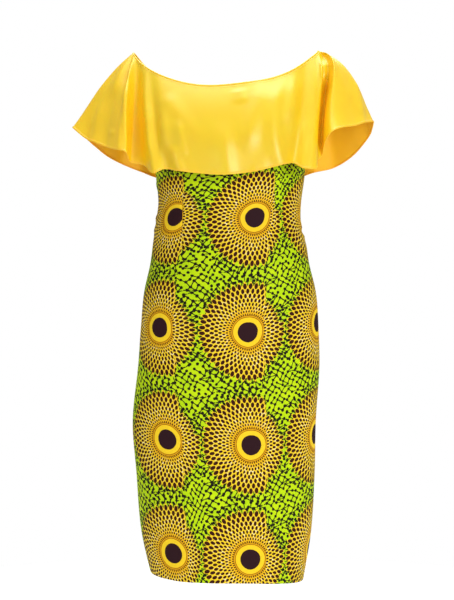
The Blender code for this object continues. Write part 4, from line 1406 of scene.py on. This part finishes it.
def sew(name, lines, thread, pitch_share=1.0, length_share=1.0):
    """Lays stitches along lines of points, all in one mesh."""
    sizes = settings().stitches
    points = np.concatenate(lines)
    edges = []
    start = 0
    for line in lines:
        edges += [(start + i, start + i + 1) for i in range(len(line) - 1)]
        start += len(line)
    data = bpy.data.meshes.new(name)
    data.from_pydata(points.tolist(), edges, [])
    made = bpy.data.objects.new(name, data)
    bpy.context.scene.collection.objects.link(made)
    group = stitch_nodes()
    modifier = made.modifiers.new("Stitches", "NODES")
    modifier.node_group = group
    values = {
        "Length": sizes.length * length_share,
        "Pitch": sizes.pitch * pitch_share,
        "Thickness": sizes.thickness,
        "Thread": shared_material(thread),
    }
    for item in group.interface.items_tree:
        if item.item_type == "SOCKET" and item.in_out == "INPUT" and item.name in values:
            modifier[item.identifier] = values[item.name]
    bpy.context.view_layer.update()
    graph = bpy.context.evaluated_depsgraph_get()
    sewn = bpy.data.meshes.new_from_object(made.evaluated_get(graph), depsgraph=graph)
    made.modifiers.clear()
    made.data = sewn
    bpy.data.meshes.remove(data)
    if not sewn.polygons:
        raise RuntimeError(name + " has no stitches")
    sewn.name = name
    sewn.shade_smooth()
    declare(made)


def line_along(outer, normals, distance, from_last_row):
    """A line of points that runs along a grid at a distance from its first or last row, just proud of it."""
    if from_last_row:
        outer, normals = outer[::-1], normals[::-1]
    down = grid_lengths(outer, 0)
    proud = outer + normals * settings().stitches.thickness * STITCH_PROUD

    def point(column):
        return [np.interp(distance, down[:, column], proud[:, column, axis]) for axis in range(3)]

    return np.array([point(column) for column in range(outer.shape[1])])


class DRESS_OT_stitches(bpy.types.Operator):
    """Sews the cape's rolled hem, its neckline, the sheath's hem and the walking slit"""

    bl_idname = "dress.stitches"
    bl_label = "Stitches"

    def execute(self, context):
        hems, necks = [], []
        for piece in ("satin_cape_front", "satin_cape_back"):
            outer, _, normals = cape_cloth(piece)
            hems.append(line_along(outer, normals, CAPE_HEM_STITCH, True))
            necks.append(line_along(outer, normals, NECK_STITCH, False))
        sew("cape_hem_stitches", hems, "satin_thread")
        sew("neckline_stitches", necks, "satin_thread")
        hems, slits, tacks = [], [], []
        for piece in ("sheath_front", "sheath_back_left", "sheath_back_right"):
            outer, normals, _ = sheath_cloth(piece)
            hems.append(line_along(outer, normals, HEM_TURN_UP, True))
            if piece == "sheath_front":
                continue
            if piece == "sheath_back_left":
                outer, normals = outer[:, ::-1], normals[:, ::-1]
            turned = np.swapaxes(outer, 0, 1), np.swapaxes(normals, 0, 1)
            edge = line_along(*turned, SLIT_STITCH, False)
            slits.append(edge[edge[:, 2] < SLIT_TOP_Z])
            for row in range(TACK_LINES):
                z = SLIT_TOP_Z + (row - (TACK_LINES - 1) / 2) * settings().stitches.thickness
                i = int(np.argmin(np.abs(outer[:, 0, 2] - z)))
                tacks.append((z, outer[i, 0] + normals[i, 0] * settings().stitches.thickness))
        sew("sheath_hem_stitches", hems, "print_thread", BLIND_PITCH, BLIND_LENGTH)
        sew("slit_stitches", slits, "print_thread")
        middle = np.mean([point for _, point in tacks], axis=0)
        bars = [
            np.array([[middle[0] - TACK_HALF, middle[1], z], [middle[0] + TACK_HALF, middle[1], z]])
            for z in sorted({z for z, _ in tacks})
        ]
        sew("slit_tack", bars, "print_thread", TACK_PITCH)
        return {"FINISHED"}


class DRESS_OT_binding(bpy.types.Operator):
    """Builds the rounded satin binding of the neckline"""

    bl_idname = "dress.binding"
    bl_label = "Neck binding"

    def execute(self, context):
        shares = np.linspace(-1, 3, HEM_STEPS + 1)
        rings = np.linspace(0, 1, BINDING_RINGS + 1)[:-1]
        places = np.interp(rings, np.linspace(0, 1, HEM_STEPS + 1), place_of_neck(shares))
        point, normal, _, down = surface_frame(cape_point, places, NUDGE)
        middle = point - normal * BINDING_INSET - down * BINDING_RISE
        angles = 2 * math.pi * np.arange(BINDING_SIDES) / BINDING_SIDES
        out = signed_power(np.cos(angles), BINDING_POWER) * BINDING_HALF_WIDTH
        up = signed_power(np.sin(angles), BINDING_POWER) * BINDING_HALF_HEIGHT
        points = middle[:, None] + normal[:, None] * out[:, None] - down[:, None] * up[:, None]
        index = np.arange(BINDING_RINGS * BINDING_SIDES).reshape(BINDING_RINGS, BINDING_SIDES)
        onward = np.roll(index, -1, axis=0)
        corners = [index, onward, np.roll(onward, -1, axis=1), np.roll(index, -1, axis=1)]
        faces = np.stack(corners, axis=-1).reshape(-1, 4)
        along, around = np.meshgrid(
            np.linspace(0, 1, BINDING_RINGS), np.arange(BINDING_SIDES) * BINDING_SIDE_SPACING, indexing="ij"
        )
        flat = np.stack([along, around], axis=-1).reshape(-1, 2)
        satin = shared_material("cape_satin")
        piece = new_object("satin_neck_binding", points.reshape(-1, 3), faces, flat[faces.ravel()], satin)
        declare(piece, "neck_binding")
        return {"FINISHED"}


class DRESS_OT_studio(bpy.types.Operator):
    """Sets up the pale floor, the soft lights and the camera"""

    bl_idname = "dress.studio"
    bl_label = "Studio"

    def execute(self, context):
        sizes = settings().studio
        floor(sizes.floor_z)
        for row in LIGHT_ROWS:
            soft_light(row)
        world_light(AIR_STRENGTH)
        camera(sizes)
        context.scene.view_settings.view_transform = "Standard"
        return {"FINISHED"}


def floor(floor_z):
    """A plain round floor of pale paper."""
    material = bpy.data.materials.new("studio_paper")
    tree = Tree(material)
    place = Field(tree, tree.node("ShaderNodeTexCoord").outputs["Object"])
    mottle = tree.ramp(tree.noise(place, PAPER_SCALE), *PAPER_EDGES)
    tree.feed(tree.shader.inputs["Base Color"], tree.blend(mottle, PAPER_LIGHT, PAPER_DARK))
    tree.shader.inputs["Roughness"].default_value = PAPER_ROUGHNESS
    mesh = bmesh.new()
    bmesh.ops.create_circle(mesh, cap_ends=True, segments=FLOOR_SEGMENTS, radius=FLOOR_RADIUS)
    bmesh.ops.translate(mesh, verts=mesh.verts, vec=(0, 0, floor_z))
    data = bpy.data.meshes.new("studio_paper")
    mesh.to_mesh(data)
    mesh.free()
    data.materials.append(material)
    thing = bpy.data.objects.new("studio_paper", data)
    bpy.context.scene.collection.objects.link(thing)


def soft_light(row):
    data = bpy.data.lights.new(row.name, "AREA")
    data.energy = row.power
    data.size = row.size
    thing = bpy.data.objects.new(row.name, data)
    thing.location = row.place
    thing.rotation_euler = (Vector(row.target) - Vector(row.place)).to_track_quat("-Z", "Y").to_euler()
    bpy.context.scene.collection.objects.link(thing)


def world_light(strength):
    """Even light from all round, in front of a white studio."""
    world = bpy.data.worlds.new("studio_air")
    world.use_nodes = True
    nodes, links = world.node_tree.nodes, world.node_tree.links
    air = nodes["Background"]
    air.inputs["Color"].default_value = (1, 1, 1, 1)
    air.inputs["Strength"].default_value = strength
    white = nodes.new("ShaderNodeBackground")
    white.inputs["Color"].default_value = (1, 1, 1, 1)
    path = nodes.new("ShaderNodeLightPath")
    either = nodes.new("ShaderNodeMixShader")
    links.new(path.outputs["Is Camera Ray"], either.inputs["Fac"])
    links.new(air.outputs["Background"], either.inputs[1])
    links.new(white.outputs["Background"], either.inputs[2])
    links.new(either.outputs["Shader"], nodes["World Output"].inputs["Surface"])
    bpy.context.scene.world = world


def camera(sizes):
    data = bpy.data.cameras.new("camera")
    data.lens = sizes.lens
    thing = bpy.data.objects.new("camera", data)
    data.shift_y = sizes.shift
    thing.location = (0, -sizes.distance, sizes.eye_z)
    thing.rotation_euler = (math.radians(90 - sizes.tilt), 0, 0)
    bpy.context.scene.collection.objects.link(thing)
    bpy.context.scene.camera = thing


class DressSettings(bpy.types.PropertyGroup):
    cloth: PointerProperty(type=ClothSizes)
    print_colours: PointerProperty(type=PrintColours)
    satin: PointerProperty(type=SatinFinish)
    stitches: PointerProperty(type=StitchSizes)
    studio: PointerProperty(type=StudioSizes)


class DRESS_PT_panel(bpy.types.Panel):
    """Lists the dress's sizes, colours and pieces"""

    bl_idname = "DRESS_PT_panel"
    bl_label = "Cape Dress"
    bl_space_type = "VIEW_3D"
    bl_region_type = "UI"
    bl_category = "Cape Dress"

    def draw(self, context):
        layout = self.layout
        dress = context.scene.cape_dress
        for group in (dress.cloth, dress.print_colours, dress.satin, dress.stitches, dress.studio):
            box = layout.box()
            for name in group.__annotations__:
                box.prop(group, name)
        for operator in OPERATORS:
            layout.operator(operator.bl_idname)


OPERATORS = (DRESS_OT_studio, DRESS_OT_sheath, DRESS_OT_cape, DRESS_OT_binding, DRESS_OT_stitches)
GROUPS = (ClothSizes, PrintColours, SatinFinish, StitchSizes, StudioSizes, DressSettings)
CLASSES = (*GROUPS, *OPERATORS, DRESS_PT_panel)


def register():
    for item in CLASSES:
        bpy.utils.register_class(item)
    bpy.types.Scene.cape_dress = PointerProperty(type=DressSettings)


def unregister():
    del bpy.types.Scene.cape_dress
    for item in reversed(CLASSES):
        bpy.utils.unregister_class(item)


def main():
    register()
    bpy.ops.dress.studio()
    bpy.ops.dress.sheath()
    bpy.ops.dress.cape()
    bpy.ops.dress.binding()
    bpy.ops.dress.stitches()


if __name__ == "__main__":
    main()
